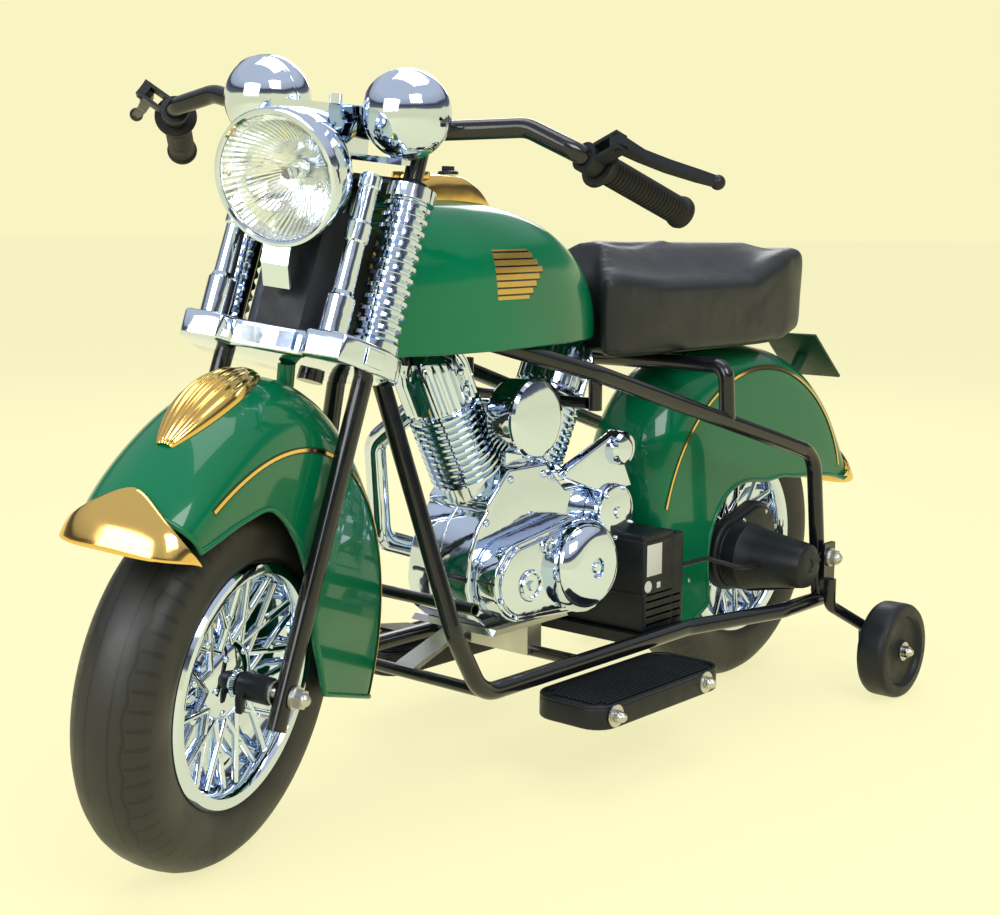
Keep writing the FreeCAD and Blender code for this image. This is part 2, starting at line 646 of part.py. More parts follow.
def lamp_bracket():
    """Bright housing behind the headlamp, the arm under the spot lamps and the tongue below."""
    housing = Part.makeBox(84, 60, 46, V(702, -30, 664))
    arm = Part.makeBox(20, 156, 6, V(706, -78, 660))
    knob = rod(V(744, 14, 709), V(744, 14, 719), 6)
    tongue = prism([V(806, -14, 590), V(810, -14, 562), V(803, -14, 540), V(800, -14, 542), V(806, -14, 562),
                    V(801, -14, 590)], V(0, 28, 0))
    whole = housing.fuse(arm).fuse(knob)
    for other in spots + [headlamp_solid, bar_solid]:
        whole = whole.cut(other)
    return group([largest(whole), tongue.cut(headlamp_solid)])


shape_part("lamp_bracket", lamp_bracket(), STEER)

# ---------------------------------------------------------------- handlebar fittings
GRIP_AXIS = (BAR_GRIP_OUT - BAR_GRIP_IN).normalize()
GRIP_START = BAR_GRIP_IN + GRIP_AXIS * 28
LEVER_SIDE = V(0.277, 0.833, 0.479)
LEVER_SIDE = (LEVER_SIDE - GRIP_AXIS * LEVER_SIDE.dot(GRIP_AXIS)).normalize()
LEVER_PIN = GRIP_AXIS.cross(LEVER_SIDE)
GRIP_LONG = size("grip_length")
PIVOT_ALONG = -14
PIVOT_OUT = 37


def grip():
    """Soft grip with a wide flange at the inner end and a bead at the outer end."""
    radius = size("grip_r")
    end = GRIP_LONG
    outline = [(TUBE_R, 0), (22, 0), (22, 4), (radius, 7), (radius, end - 9), (radius + 3, end - 6),
               (radius + 3, end - 2), (radius, end), (0, end), (0, end - 4), (TUBE_R, end - 4)]
    body = spun(outline, GRIP_START, GRIP_AXIS)
    return body.cut(bar_solid)


def lever_point(along, out, across=0):
    """A point beside the left grip, in the lever's plane."""
    return GRIP_START + GRIP_AXIS * along + LEVER_SIDE * out + LEVER_PIN * across


def lever_perch():
    """Clamp on the handlebar with a fork that carries the lever's pin."""
    clamp = ring(lever_point(-20, 0), lever_point(-3, 0), TUBE_R + 5, TUBE_R)
    cheeks = []
    for low in (-9, 5.3):
        outline = [lever_point(a, o, low) for a, o in ((-20, 12), (-5, 12), (-6, PIVOT_OUT + 5),
                                                        (-21, PIVOT_OUT + 5))]
        cheeks.append(prism(outline, LEVER_PIN * 3.7))
    pin = rod(lever_point(PIVOT_ALONG, PIVOT_OUT, -10), lever_point(PIVOT_ALONG, PIVOT_OUT, 10), 3)
    return largest(clamp.fuse(cheeks[0]).fuse(cheeks[1]).fuse(pin).cut(bar_solid))


def brake_lever():
    """Curved lever blade with a ball end."""
    outline = [(-21, 33), (-6, 30), (18, 33), (50, 39), (84, 49), (103, 56), (103, 63), (82, 58),
               (48, 49), (18, 43), (-8, 44), (-20, 42)]
    blade = prism([lever_point(a, o, -5) for a, o in outline], LEVER_PIN * 10)
    ball = Part.makeSphere(7.5, lever_point(106, 60))
    bore = rod(lever_point(PIVOT_ALONG, PIVOT_OUT, -12), lever_point(PIVOT_ALONG, PIVOT_OUT, 12),
               3 + size("run_gap"))
    return blade.fuse(ball).cut(bore)


shape_part("grips", group([grip(), mirrored(grip())]), STEER)
shape_part("lever_perches", group([lever_perch(), mirrored(lever_perch())]), STEER)
shape_part("left_brake_lever", largest(brake_lever()), STEER)
shape_part("right_brake_lever", largest(mirrored(brake_lever())), STEER)

# ---------------------------------------------------------------- fender trim
FRONT_TIP = [(38, 232, 222, 30, 226), (43, 243, 205, 60, 214), (48, 250, 200, 69, 212), (54, 254, 203, 64, 217)]
REAR_TIP = [(159, 280, 218, 65, 240), (166, 284, 240, 63, 250), (172, 285, 256, 50, 263), (177, 281, 268, 24, 272)]
ORNAMENT = [(66, 9, 3), (70, 15, 9), (76, 21, 13), (83, 24, 13), (90, 22, 9), (97, 14, 3)]


wires = []
for angle, crown_r, skirt_r, half, shoulder in FRONT_FENDER:
    points = panel_section(FRONT_AXLE, angle, crown_r + 0.3, skirt_r, half, shoulder, 0)
    wires.append(Part.makePolygon(points + [points[0]]))
front_fender_block = Part.makeLoft(wires, True, False)


def crest():
    """Streamlined crest that sits on the crown of the front fender."""
    wires = []
    for angle, half, rise in ORNAMENT:
        outward = V(math.cos(math.radians(angle)), 0, math.sin(math.radians(angle)))
        base = 246 + 37 * math.sin(math.radians((angle - 62) * 2.6)) - 16
        top = base + 22 + rise
        points = []
        for i in range(9):
            turn = math.pi * i / 8
            reach = base + (top - base) * math.sin(turn)
            points.append(FRONT_AXLE + outward * reach + V(0, half * math.cos(turn), 0))
        wires.append(Part.makePolygon(points + [points[0]]))
    return largest(Part.makeLoft(wires, True, False).cut(front_fender_block))


front_tip = fender(FRONT_AXLE, FRONT_TIP, 3)
shape_part("front_fender_trim", group([crest(), front_tip]), STEER)


def tail_plate():
    """Plate behind the rear fender's crown on a short stand."""
    angle = math.radians(131)
    outward = V(math.cos(angle), 0, math.sin(angle))
    along = V(math.sin(angle), 0, -math.cos(angle))
    centre = REAR_AXLE + outward * 308
    corners = [centre + along * a + V(0, y, 0) for a, y in ((47, 42), (-47, 42), (-47, -42), (47, -42))]
    plate = prism(corners, outward * 4)
    corners = [REAR_AXLE + outward * 258 + along * a + V(0, y, 0) for a, y in ((9, 9), (-9, 9), (-9, -9), (9, -9))]
    stand = prism(corners, outward * 50)
    return largest(plate.fuse(stand).cut(rear_fender))


rear_tip = fender(REAR_AXLE, REAR_TIP, 3)
shape_part("rear_fender_trim", group([tail_plate(), rear_tip]))

# ---------------------------------------------------------------- engine
VEE = V(size("vee_x"), 0, size("vee_z"))
CASE_HALF = 45
DECK_Z = 312
BARREL_LONG = 139
HEAD_LONG = 37


def cleared(shape, *others):
    """Shape with its neighbours' room cut away, keeping the largest piece that is left."""
    for other in others:
        shape = shape.cut(other)
    return largest(shape)


def cylinder_axis(side):
    """Foot and direction of the front (+1) or rear (-1) engine cylinder."""
    lean = math.radians(size("vee_lean"))
    return V(VEE.x - 1.5 + side * 41.5, 0, DECK_Z), V(side * math.sin(lean), 0, math.cos(lean))


def engine_cylinder(side):
    """Finned barrel with a ribbed head."""
    outer = size("cylinder_r")
    valley = outer - 5
    fins = 13
    pitch = BARREL_LONG / fins
    outline = [(0, 0)]
    for fin in range(fins):
        base = fin * pitch
        outline += [(valley, base), (valley, base + pitch - 4), (outer, base + pitch - 4), (outer, base + pitch)]
    for rib in range(3):
        base = BARREL_LONG + rib * 10
        outline += [(outer - 4 - 3 * rib, base + 0.1), (outer - 4 - 3 * rib, base + 6), (outer - 9 - 3 * rib, base + 6),
                    (outer - 9 - 3 * rib, base + 10)]
    outline += [(20, BARREL_LONG + HEAD_LONG), (0, BARREL_LONG + HEAD_LONG)]
    foot, lean = cylinder_axis(side)
    return spun(outline, foot, lean)


front_barrel = engine_cylinder(1)
rear_barrel = engine_cylinder(-1)
barrel_room = []
for side in (1, -1):
    foot, lean = cylinder_axis(side)
    barrel_room.append(rod(foot, foot + lean * BARREL_LONG, size("cylinder_r")))
shape_part("front_cylinder", cleared(front_barrel, upper_solid, mirrored(upper_solid)))
cradle_room = rod(V(POST_FRONT_X, -POST_FRONT_Y, CRADLE_Z + 7), V(POST_FRONT_X, POST_FRONT_Y, CRADLE_Z + 7), THIN)
seat_room = Part.makeBox(200, 300, 200, V(174, -150, SEAT_PAN_LOW - 0.5))
rear_barrel_room = [upper_solid, mirrored(upper_solid), barrel_room[0], seat_room, cradle_room]
shape_part("rear_cylinder", cleared(rear_barrel, *rear_barrel_room))

CASE_SIDE = [(386, 174), (398, 165), (516, 165), (538, 182), (546, 212), (541, 246), (528, 276), (512, 292),
             (512, 300), (478, 334), (414, 334), (380, 300), (296, 300), (282, 288), (282, 244), (386, 244)]


def side_prism(outline, low, high):
    """Outline given in the side view, pushed from one width to another."""
    return prism([V(x, low, z) for x, z in outline], V(0, high - low, 0))


crankcase = side_prism(CASE_SIDE, -CASE_HALF, CASE_HALF)
intake = side_prism([(424, 334), (468, 334), (470, 404), (422, 404)], -CASE_HALF, CASE_HALF)
shape_part("crankcase", cleared(crankcase.fuse(intake), *barrel_room))

COVER_HALF = 80
PRIMARY_FRONT = V(492, 0, 217)
PRIMARY_REAR = V(size("vee_x") - 49, 0, 221)
PRIMARY_R = (44, 54)


def capsule(front, rear, radii, low, high):
    """Two discs and the band that joins them, across the machine."""
    band = [V(front.x, low, front.z - radii[0]), V(rear.x, low, rear.z - radii[1]),
            V(rear.x, low, rear.z + radii[1]), V(front.x, low, front.z + radii[0])]
    solid = prism(band, V(0, high - low, 0))
    for centre, radius in ((front, radii[0]), (rear, radii[1])):
        solid = solid.fuse(rod(V(centre.x, low, centre.z), V(centre.x, high, centre.z), radius))
    return solid.removeSplitter()


primary = capsule(PRIMARY_FRONT, PRIMARY_REAR, PRIMARY_R, CASE_HALF, COVER_HALF)
for boss in (V(484, COVER_HALF, 212), V(456, COVER_HALF, 251)):
    primary = primary.fuse(rod(boss, boss + V(0, 7, 0), 9))
shape_part("primary_cover", primary)


def side_place(x, y, z):
    """Placement of a turned piece whose axis points out to the left."""
    return Placement(V(x, y, z), Rotation(V(0, 0, 1), V(0, 1, 0)))


turned("clutch_cover", [("0", "0"), ("52", "0"), ("52", "8"), ("44", "17"), ("34", "20"), ("34", "23"),
                        ("10", "23"), ("10", "27"), ("0", "27")],
       side_place(PRIMARY_REAR.x, COVER_HALF, PRIMARY_REAR.z))
turned("air_cleaner", [("0", "0"), ("34", "0"), ("34", "20"), ("dims.cylinder_r - 3", "24"),
                       ("dims.cylinder_r + 2", "28"), ("dims.cylinder_r + 2", "38"), ("dims.cylinder_r - 5", "43"),
                       ("15", "46"), ("0", "46")], side_place(478, CASE_HALF, 392))

CAM_SIDE = [(274, 290), (270, 303), (294, 378), (312, 378), (398, 326), (386, 290)]
cam_plate = side_prism(CAM_SIDE, CASE_HALF, 58)
cam_stem = side_prism([(300, 300), (372, 300), (330, 345)], 20, CASE_HALF)
cam_disc = rod(V(313, CASE_HALF, 267), V(313, 58, 267), 33)
cam_bosses = [rod(V(301, 58, 340), V(301, 72, 340), 20), rod(V(313, 58, 267), V(313, 64, 267), 22)]
cam_cover = cam_plate.fuse(cam_disc).fuse(cam_stem)
for boss in cam_bosses:
    cam_cover = cam_cover.fuse(boss)
battery_room = Part.makeBox(10, 200, 10, V(292.5, -100, 232))
shape_part("cam_cover", cleared(cam_cover, battery_room, *barrel_room))

HEADER_ROUTE = [V(548, -30, 400), V(560, -78, 360), V(545, -84, 250), V(440, -88, 214), V(346, -92, 266)]
SILENCER_FRONT = V(352, -92, 268)
SILENCER_REAR = V(96, -100, 276)


def exhaust():
    """Header pipe down the right side and the silencer it ends in."""
    silencer = rod(SILENCER_FRONT, SILENCER_REAR, 22)
    head = tube(HEADER_ROUTE, radius=12, bend_r=24, solid=True)
    return [cleared(silencer.fuse(head), *barrel_room)]


shape_part("exhaust_pipes", group(exhaust()))


def engine_mount():
    """Plate under the crankcase with lugs down to the cross tubes and a strap to the front one."""
    plate = side_prism([(392, 159), (522, 159), (516, 165), (398, 165)], -60, 60)
    lug = Part.makeBox(24, 84, 40, V(CROSS_X[0] - 12, -42, 119))
    strap = side_prism([(500, 159), (512, 159), (590, 134), (596, 131), (592, 126), (584, 130)], -14, 14)
    whole = plate.fuse(lug).fuse(strap)
    return cleared(whole, *[rod(V(x, -120, z), V(x, 120, z), THIN) for x, z in ((CROSS_X[0], RAIL_Z), (592, 124))])


shape_part("engine_mount", engine_mount())

# ---------------------------------------------------------------- tank and seat
TANK_LOW = 470
TANK_STATIONS = [(320, 30, 500), (335, 44, 532), (370, 62, 568), (420, 76, 595), (480, 86, 611), (540, 92, 617),
                 (600, 90, 616), (650, 80, 610), (695, 64, 600)]
TANK_DRAWN_HALF = 91
TANK_CURVE = [(1, 0), (1, 0.3), (0.95, 0.55), (0.82, 0.77), (0.58, 0.92), (0.3, 0.985), (0, 1)]


def tank_block(wall):
    """Solid inside the tank's surface; the wall moves it inwards."""
    wires = []
    for x, half, top in TANK_STATIONS:
        wide = (half - wall) * size("tank_half") / TANK_DRAWN_HALF
        low = TANK_LOW - wall
        high = top - wall
        x_here = x + (wall if x == 320 else 0)
        left = [V(x_here, wide * a, low + (high - low) * b) for a, b in TANK_CURVE]
        right = [V(p.x, -p.y, p.z) for p in reversed(left[:-1])]
        points = left + right
        wires.append(Part.makePolygon(points + [points[0]]))
    return Part.makeLoft(wires, True, True)


tank_solid = tank_block(0)
head_side = fork_at(-26, 0, 200)
front_room = prism([head_side, head_side + AXIS * 500, head_side + AXIS * 500 + V(200, 0, 0),
                    head_side + V(200, 0, 0)], V(0, 400, 0))
front_room.translate(V(0, -200, 0))
tank_shell = tank_solid.cut(tank_block(size("panel_wall"))).cut(front_room)
RAIL_ROOM = [tube(UPPER_ROUTE, radius=TUBE_R + 0.2, bend_r=40, solid=True),
             tube(LOWER_ROUTE, radius=TUBE_R + 0.2, bend_r=40, solid=True)]
RAIL_ROOM += [mirrored(room) for room in RAIL_ROOM]
shape_part("fuel_tank", cleared(tank_shell, *RAIL_ROOM))

CONSOLE_SIDE = [(620, 600), (620, 639), (600, 643), (540, 646), (512, 644), (484, 628), (458, 604), (470, 590)]
CONSOLE_END = [(-24, 580), (-24, 628), (-15, 650), (15, 650), (24, 628), (24, 580)]
console_across = prism([V(440, y, z) for y, z in CONSOLE_END], V(200, 0, 0))
console = side_prism(CONSOLE_SIDE, -24, 24).common(console_across)
KNOB = V(527, 0, 646.4)
KNOB_STEM_R = 4
stem_room = rod(KNOB - V(0, 0, 9), KNOB + V(0, 0, 10), KNOB_STEM_R + size("run_gap"))
shape_part("tank_console", cleared(console, tank_solid, front_room, stem_room))
knob = rod(KNOB, KNOB + V(0, 0, 4), 11).fuse(Part.makeBox(18, 5, 9, KNOB + V(-9, -2.5, 4)))
shape_part("power_switch", knob.fuse(rod(KNOB - V(0, 0, 8), KNOB, KNOB_STEM_R)).removeSplitter())

SEAT_FRONT = 346
SEAT_HALF = [(SEAT_FRONT, 64), (SEAT_FRONT, 75), (300, 82), (200, 89), (140, 92), (-30, 92), (-76, 82), (-102, 58),
             (-112, 20)]
SEAT_NOTCH = [(310, 0), (312, 26), (320, 42), (334, 55)]


def seat_plate(low, high, inset):
    """Slab with the seat's plan outline."""
    half = [V(x + (inset if x < 0 else -inset if x == SEAT_FRONT else 0), y - inset, low) for x, y in SEAT_HALF]
    notch = [V(x - inset, y, low) for x, y in SEAT_NOTCH]
    other = [V(p.x, -p.y, low) for p in reversed(notch[1:] + half)]
    return prism(notch + half + other, V(0, 0, high - low))


SEAT_LOW = size("seat_low")
shape_part("seat_base", cleared(seat_plate(SEAT_PAN_LOW, SEAT_LOW, 6), rear_fender))
shape_part("seat_pad", seat_plate(SEAT_LOW, size("seat_top"), 0))

# ---------------------------------------------------------------- battery
BATTERY_X = (220, 301)
BATTERY_HALF = 98
BATTERY_LOW = 125
BATTERY_TOP = 236


def battery():
    """Battery housing notched around the fender's crown and over the cross tube."""
    block = Part.makeBox(BATTERY_X[1] - BATTERY_X[0], 2 * BATTERY_HALF, BATTERY_TOP - BATTERY_LOW,
                         V(BATTERY_X[0], -BATTERY_HALF, BATTERY_LOW))
    notch = Part.makeBox(20, 132, 200, V(BATTERY_X[0] - 1, -66, BATTERY_LOW - 1))
    lid = Part.makeBox(58, 188, 5, V(242, -94, BATTERY_TOP))
    return cleared(block.fuse(lid), notch, cross_room)


cross_room = rod(V(CROSS_X[1], -120, RAIL_Z), V(CROSS_X[1], 120, RAIL_Z), THIN)
shape_part("battery_case", battery())
tray = Part.makeBox(94, 198, 13, V(214, -99, BATTERY_LOW - 13))
shape_part("battery_tray", cleared(tray, cross_room, *RAIL_ROOM))

# ---------------------------------------------------------------- drive
MODULE = size("gear_module")
TEETH = {"pinion": 12, "idler_large": 36, "idler_small": 14, "output": 40}
GEAR_LOW = 45.5
GEAR_WIDE = size("gear_wide") - 1
MOTOR = V(size("motor_x"), 0, size("motor_z"))
MOTOR_AWAY = MOTOR - REAR_AXLE
REACH_OUT = MODULE * (TEETH["output"] + TEETH["idler_small"]) / 2
REACH_IN = MODULE * (TEETH["pinion"] + TEETH["idler_large"]) / 2
MOTOR_DISTANCE = MOTOR_AWAY.Length
idler_turn = math.acos((REACH_OUT ** 2 + MOTOR_DISTANCE ** 2 - REACH_IN ** 2) / (2 * REACH_OUT * MOTOR_DISTANCE))
idler_turn += math.atan2(MOTOR_AWAY.z, MOTOR_AWAY.x)
IDLER = REAR_AXLE + V(math.cos(idler_turn), 0, math.sin(idler_turn)) * REACH_OUT


def involute(radius, base):
    """Polar angle an involute has turned through at a radius."""
    grow = math.sqrt(max((radius / base) ** 2 - 1, 0))
    return grow - math.atan(grow)


def gear(teeth, centre, low, toward):
    """Spur gear across the machine with one tooth (or gap, for a negative count) facing a point."""
    count = abs(teeth)
    pitch_r = MODULE * count / 2
    base_r = pitch_r * math.cos(math.radians(20))
    tip_r = pitch_r + 0.85 * MODULE
    root_r = pitch_r - 1.2 * MODULE
    half_tooth = 0.45 * math.pi / count + involute(pitch_r, base_r)
    facing = math.atan2(toward.z - centre.z, toward.x - centre.x)
    if teeth < 0:
        facing += math.pi / count
    start = max(base_r, root_r)
    points = []
    for tooth in range(count):
        middle = facing + 2 * math.pi * tooth / count
        flank = [(root_r, half_tooth + 0.01)] if root_r < start else []
        flank += [(r, half_tooth - involute(r, base_r)) for r in (start, pitch_r, tip_r)]
        for radius, angle in [(r, -a) for r, a in flank] + flank[::-1]:
            points.append(V(centre.x + radius * math.cos(middle + angle), low,
                            centre.z + radius * math.sin(middle + angle)))
    return prism(points, V(0, GEAR_WIDE, 0))


def across(point, low, high, radius):
    """Round bar across the machine through a point of the side view."""
    return rod(V(point.x, low, point.z), V(point.x, high, point.z), radius)


GAP = size("run_gap")
AXLE_R = size("axle_r")
SECOND_LOW = GEAR_LOW + GEAR_WIDE + 0.5
output = gear(TEETH["output"], REAR_AXLE, GEAR_LOW, IDLER)
output = output.fuse(across(REAR_AXLE, size("hub_half"), GEAR_LOW + 0.1, 18))
shape_part("output_gear", output.cut(across(REAR_AXLE, 0, 80, AXLE_R + GAP)))
PIN_R = 3
idler = gear(-TEETH["idler_small"], IDLER, GEAR_LOW, REAR_AXLE)
idler = idler.fuse(gear(TEETH["idler_large"], IDLER, SECOND_LOW, MOTOR))
idler = idler.fuse(across(IDLER, GEAR_LOW, SECOND_LOW + 1, 6.5))
shape_part("idler_gear", idler.cut(across(IDLER, 40, 80, PIN_R + GAP)))
CASE_INNER = 42.5
CASE_OUTER = 66
SHAFT_R = 2.5
pinion = gear(-TEETH["pinion"], MOTOR, SECOND_LOW, IDLER)
shape_part("motor_pinion", pinion.fuse(across(MOTOR, SECOND_LOW, CASE_OUTER + 20, SHAFT_R)))


def hull(discs, low, high, grow):
    """Outline round several discs of the side view, pushed across the machine."""
    solid = None
    for centre, radius in discs:
        disc = across(centre, low, high, radius + grow)
        solid = disc if solid is None else solid.fuse(disc)
    for (first, r_first), (second, r_second) in zip(discs, discs[1:]):
        along = (second - first).normalize()
        side = along.cross(V(0, 1, 0))
        band = [first + side * (r_first + grow), second + side * (r_second + grow),
                second - side * (r_second + grow), first - side * (r_first + grow)]
        solid = solid.fuse(prism([V(p.x, low, p.z) for p in band], V(0, high - low, 0)))
    return solid.removeSplitter()


EAR = V(4, 0, 232)
CASE_DISCS = [(REAR_AXLE, 30), (IDLER, 30), (MOTOR, 45)]


def gearbox_case():
    """Closed gear housing on the axle, with an ear beside the frame upright."""
    shell = hull(CASE_DISCS, CASE_INNER, CASE_OUTER, 3)
    shell = shell.fuse(hull([(REAR_AXLE, 22), (EAR, 9)], CASE_OUTER - 8, CASE_OUTER, 0))
    cavity = hull([(REAR_AXLE, 28), (IDLER, 26)], GEAR_LOW - 0.8, CASE_OUTER - 3, 0)
    cavity = cavity.fuse(hull([(IDLER, 26), (MOTOR, 12)], GEAR_LOW - 0.8, CASE_OUTER - 3, 0))
    boss = across(REAR_AXLE, CASE_OUTER, SPACERS[1][0], 12).cut(across(MOTOR, 60, 200, 43.3))
    pin = across(IDLER, CASE_INNER, CASE_OUTER, PIN_R)
    shell = shell.cut(cavity).fuse(boss).fuse(pin)
    holes = [across(REAR_AXLE, CASE_INNER - 1, 50, 18.6), across(REAR_AXLE, 40, 100, AXLE_R),
             across(MOTOR, 60, 80, 7)]
    return cleared(shell, *holes)


shape_part("gearbox_case", gearbox_case())
turned("motor_cover", [("43", "0"), ("43", "20"), ("42", "20"), ("28", "99"), ("24", "104"), ("5", "104"),
                       ("5", "101"), ("23", "101"), ("25", "98"), ("39", "20"), ("40", "0")],
       side_place(MOTOR.x, CASE_OUTER, MOTOR.z))
turned("drive_motor", [("dims.run_gap + 2.5", "0"), ("18", "0"), ("18", "57"), ("6", "57"), ("6", "60"),
                       ("0", "60"), ("0", "21"), ("dims.run_gap + 2.5", "21")],
       side_place(MOTOR.x, CASE_OUTER, MOTOR.z))

# ---------------------------------------------------------------- footboards
BOARD_X = (280, 510)
BOARD_Y = (102, 198)


def footboard():
    """Rounded ribbed board with two bosses up to the rail."""
    low = size("board_top") - size("board_thick")
    corner = 26
    board = Part.makeBox(BOARD_X[1] - BOARD_X[0], BOARD_Y[1] - BOARD_Y[0], size("board_thick"),
                         V(BOARD_X[0], BOARD_Y[0], low))
    upright = [e for e in board.Edges if abs(e.tangentAt(e.FirstParameter).z) > 0.9]
    board = board.makeFillet(corner, upright)
    groove_count = 7
    for i in range(groove_count):
        y = BOARD_Y[0] + 20 + i * 9.5
        board = board.cut(Part.makeBox(190, 4, 4, V(BOARD_X[0] + 20, y, size("board_top") - 3)))
    for x in (319, 470):
        board = board.fuse(Part.makeBox(26, 14, 16, V(x - 13, BOARD_Y[0] + 1, size("board_top") - 2)))
    return cleared(board, lower_solid)


PEDAL_PIN = V(412, -150, 111)
PEDAL_PIN_R = 2
PEDAL_HALF = 22
PEDAL_LUG_HALF = 26
left_board = footboard()
right_board = mirrored(left_board)
for side in (-1, 1):
    lug_y = PEDAL_PIN.y + side * (PEDAL_HALF + PEDAL_LUG_HALF) / 2
    right_board = right_board.fuse(Part.makeBox(14, 3, 12, V(PEDAL_PIN.x - 7, lug_y - 1.5, 103)))
pedal_pin = rod(PEDAL_PIN - V(0, PEDAL_LUG_HALF, 0), PEDAL_PIN + V(0, PEDAL_LUG_HALF, 0), PEDAL_PIN_R)
shape_part("left_footboard", left_board)
shape_part("right_footboard", right_board.fuse(pedal_pin))


def pedal_parts():
    """Sprung accelerator pedal: its plate swings down about a pin at its rear edge."""
    plate = side_prism([(408, 109), (416, 107.5), (478, 121), (480, 126), (412, 115)],
                       PEDAL_PIN.y - PEDAL_HALF, PEDAL_PIN.y + PEDAL_HALF)
    return plate.cut(rod(PEDAL_PIN - V(0, 40, 0), PEDAL_PIN + V(0, 40, 0), PEDAL_PIN_R + GAP))


shape_part("accelerator_pedal", pedal_parts())

# ---------------------------------------------------------------- lead
LEAD_ROUTE = [V(220, 84, 190), V(150, 84, 190), V(122, 116, 178), V(80, 118, 176)]
lead = sweep_round(bend_route(LEAD_ROUTE, 14), 3)
cone = Part.makeCone(45.6, 28, 99, V(MOTOR.x, CASE_OUTER, MOTOR.z), V(0, 1, 0))
shape_part("motor_lead", cleared(lead, cone))

# ---------------------------------------------------------------- checks and export
doc.recompute()
for obj in doc.Objects:
    if "Invalid" in obj.State or "Error" in obj.State:
        raise RuntimeError(f"{obj.Label} did not recompute: {obj.State}")
for obj in nodes:
    if obj.Shape.isNull() or not obj.Shape.isValid():
        raise RuntimeError(f"{obj.Label} has no valid shape")
os.makedirs("parts", exist_ok=True)
for obj in nodes:
    obj.Shape.exportStep(f"parts/{obj.Label}.step")
print(len(nodes), "sub-parts written")
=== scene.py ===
"""Looks of the battery ride-on motorcycle: moulded panels, bright plastic, gloss tube and soft seat."""
import bpy
import json
import math
from mathutils import Matrix, Vector

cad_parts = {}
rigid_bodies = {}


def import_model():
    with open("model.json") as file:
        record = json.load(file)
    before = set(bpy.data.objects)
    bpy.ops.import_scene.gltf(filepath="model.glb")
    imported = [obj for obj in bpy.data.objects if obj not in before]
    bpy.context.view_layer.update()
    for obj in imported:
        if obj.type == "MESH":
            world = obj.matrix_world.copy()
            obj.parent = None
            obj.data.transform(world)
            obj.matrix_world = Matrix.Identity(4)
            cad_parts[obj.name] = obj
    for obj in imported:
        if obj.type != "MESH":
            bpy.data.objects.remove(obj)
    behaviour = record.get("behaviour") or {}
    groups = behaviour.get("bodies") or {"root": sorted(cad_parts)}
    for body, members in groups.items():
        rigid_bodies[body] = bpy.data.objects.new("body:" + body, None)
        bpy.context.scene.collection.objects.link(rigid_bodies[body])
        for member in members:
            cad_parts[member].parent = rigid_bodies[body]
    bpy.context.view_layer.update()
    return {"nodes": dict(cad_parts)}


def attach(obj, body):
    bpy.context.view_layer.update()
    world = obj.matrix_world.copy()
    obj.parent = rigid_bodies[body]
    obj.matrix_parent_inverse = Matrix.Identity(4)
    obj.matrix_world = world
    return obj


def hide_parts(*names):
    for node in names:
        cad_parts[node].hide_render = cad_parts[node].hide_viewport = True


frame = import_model()
MM = 0.001
UP = Vector((0, 0, 1))
ACROSS = Vector((0, 1, 0))

# ------------------------------------------------------------------ the raked fork's frame
RAKE = math.radians(20)
AXIS = Vector((-math.sin(RAKE), 0, math.cos(RAKE)))
AHEAD = Vector((math.cos(RAKE), 0, math.sin(RAKE)))
FRONT_AXLE = Vector((864.5, 0, 180))
REAR_AXLE = Vector((0, 0, 180))
AXIS_FOOT = FRONT_AXLE - AHEAD * 40.3
STEER = (Matrix.Translation(AXIS_FOOT * MM) @ Matrix.Rotation(math.radians(19.5), 4, AXIS)
         @ Matrix.Translation(-AXIS_FOOT * MM))
STILL = Matrix.Identity(4)


def fork_at(ahead, left, along):
    """Point of the straight-ahead fork, in millimetres."""
    return AXIS_FOOT + AHEAD * ahead + ACROSS * left + AXIS * along


# ------------------------------------------------------------------ shader expressions
class Field:
    """One socket of a material, with arithmetic that adds Math nodes."""

    def __init__(self, finish, socket):
        self.finish = finish
        self.socket = socket

    def maths(self, operation, *others):
        return self.finish.node("ShaderNodeMath", {"operation": operation}, [self, *others])

    def __add__(self, other):
        return self.maths("ADD", other)

    __radd__ = __add__

    def __mul__(self, other):
        return self.maths("MULTIPLY", other)

    __rmul__ = __mul__

    def __sub__(self, other):
        return self.maths("SUBTRACT", other)

    def __rsub__(self, other):
        return self.finish.node("ShaderNodeMath", {"operation": "SUBTRACT"}, [other, self])

    def __truediv__(self, other):
        return self.maths("DIVIDE", other)

    def __gt__(self, other):
        return self.maths("GREATER_THAN", other)

    def __lt__(self, other):
        return self.maths("LESS_THAN", other)


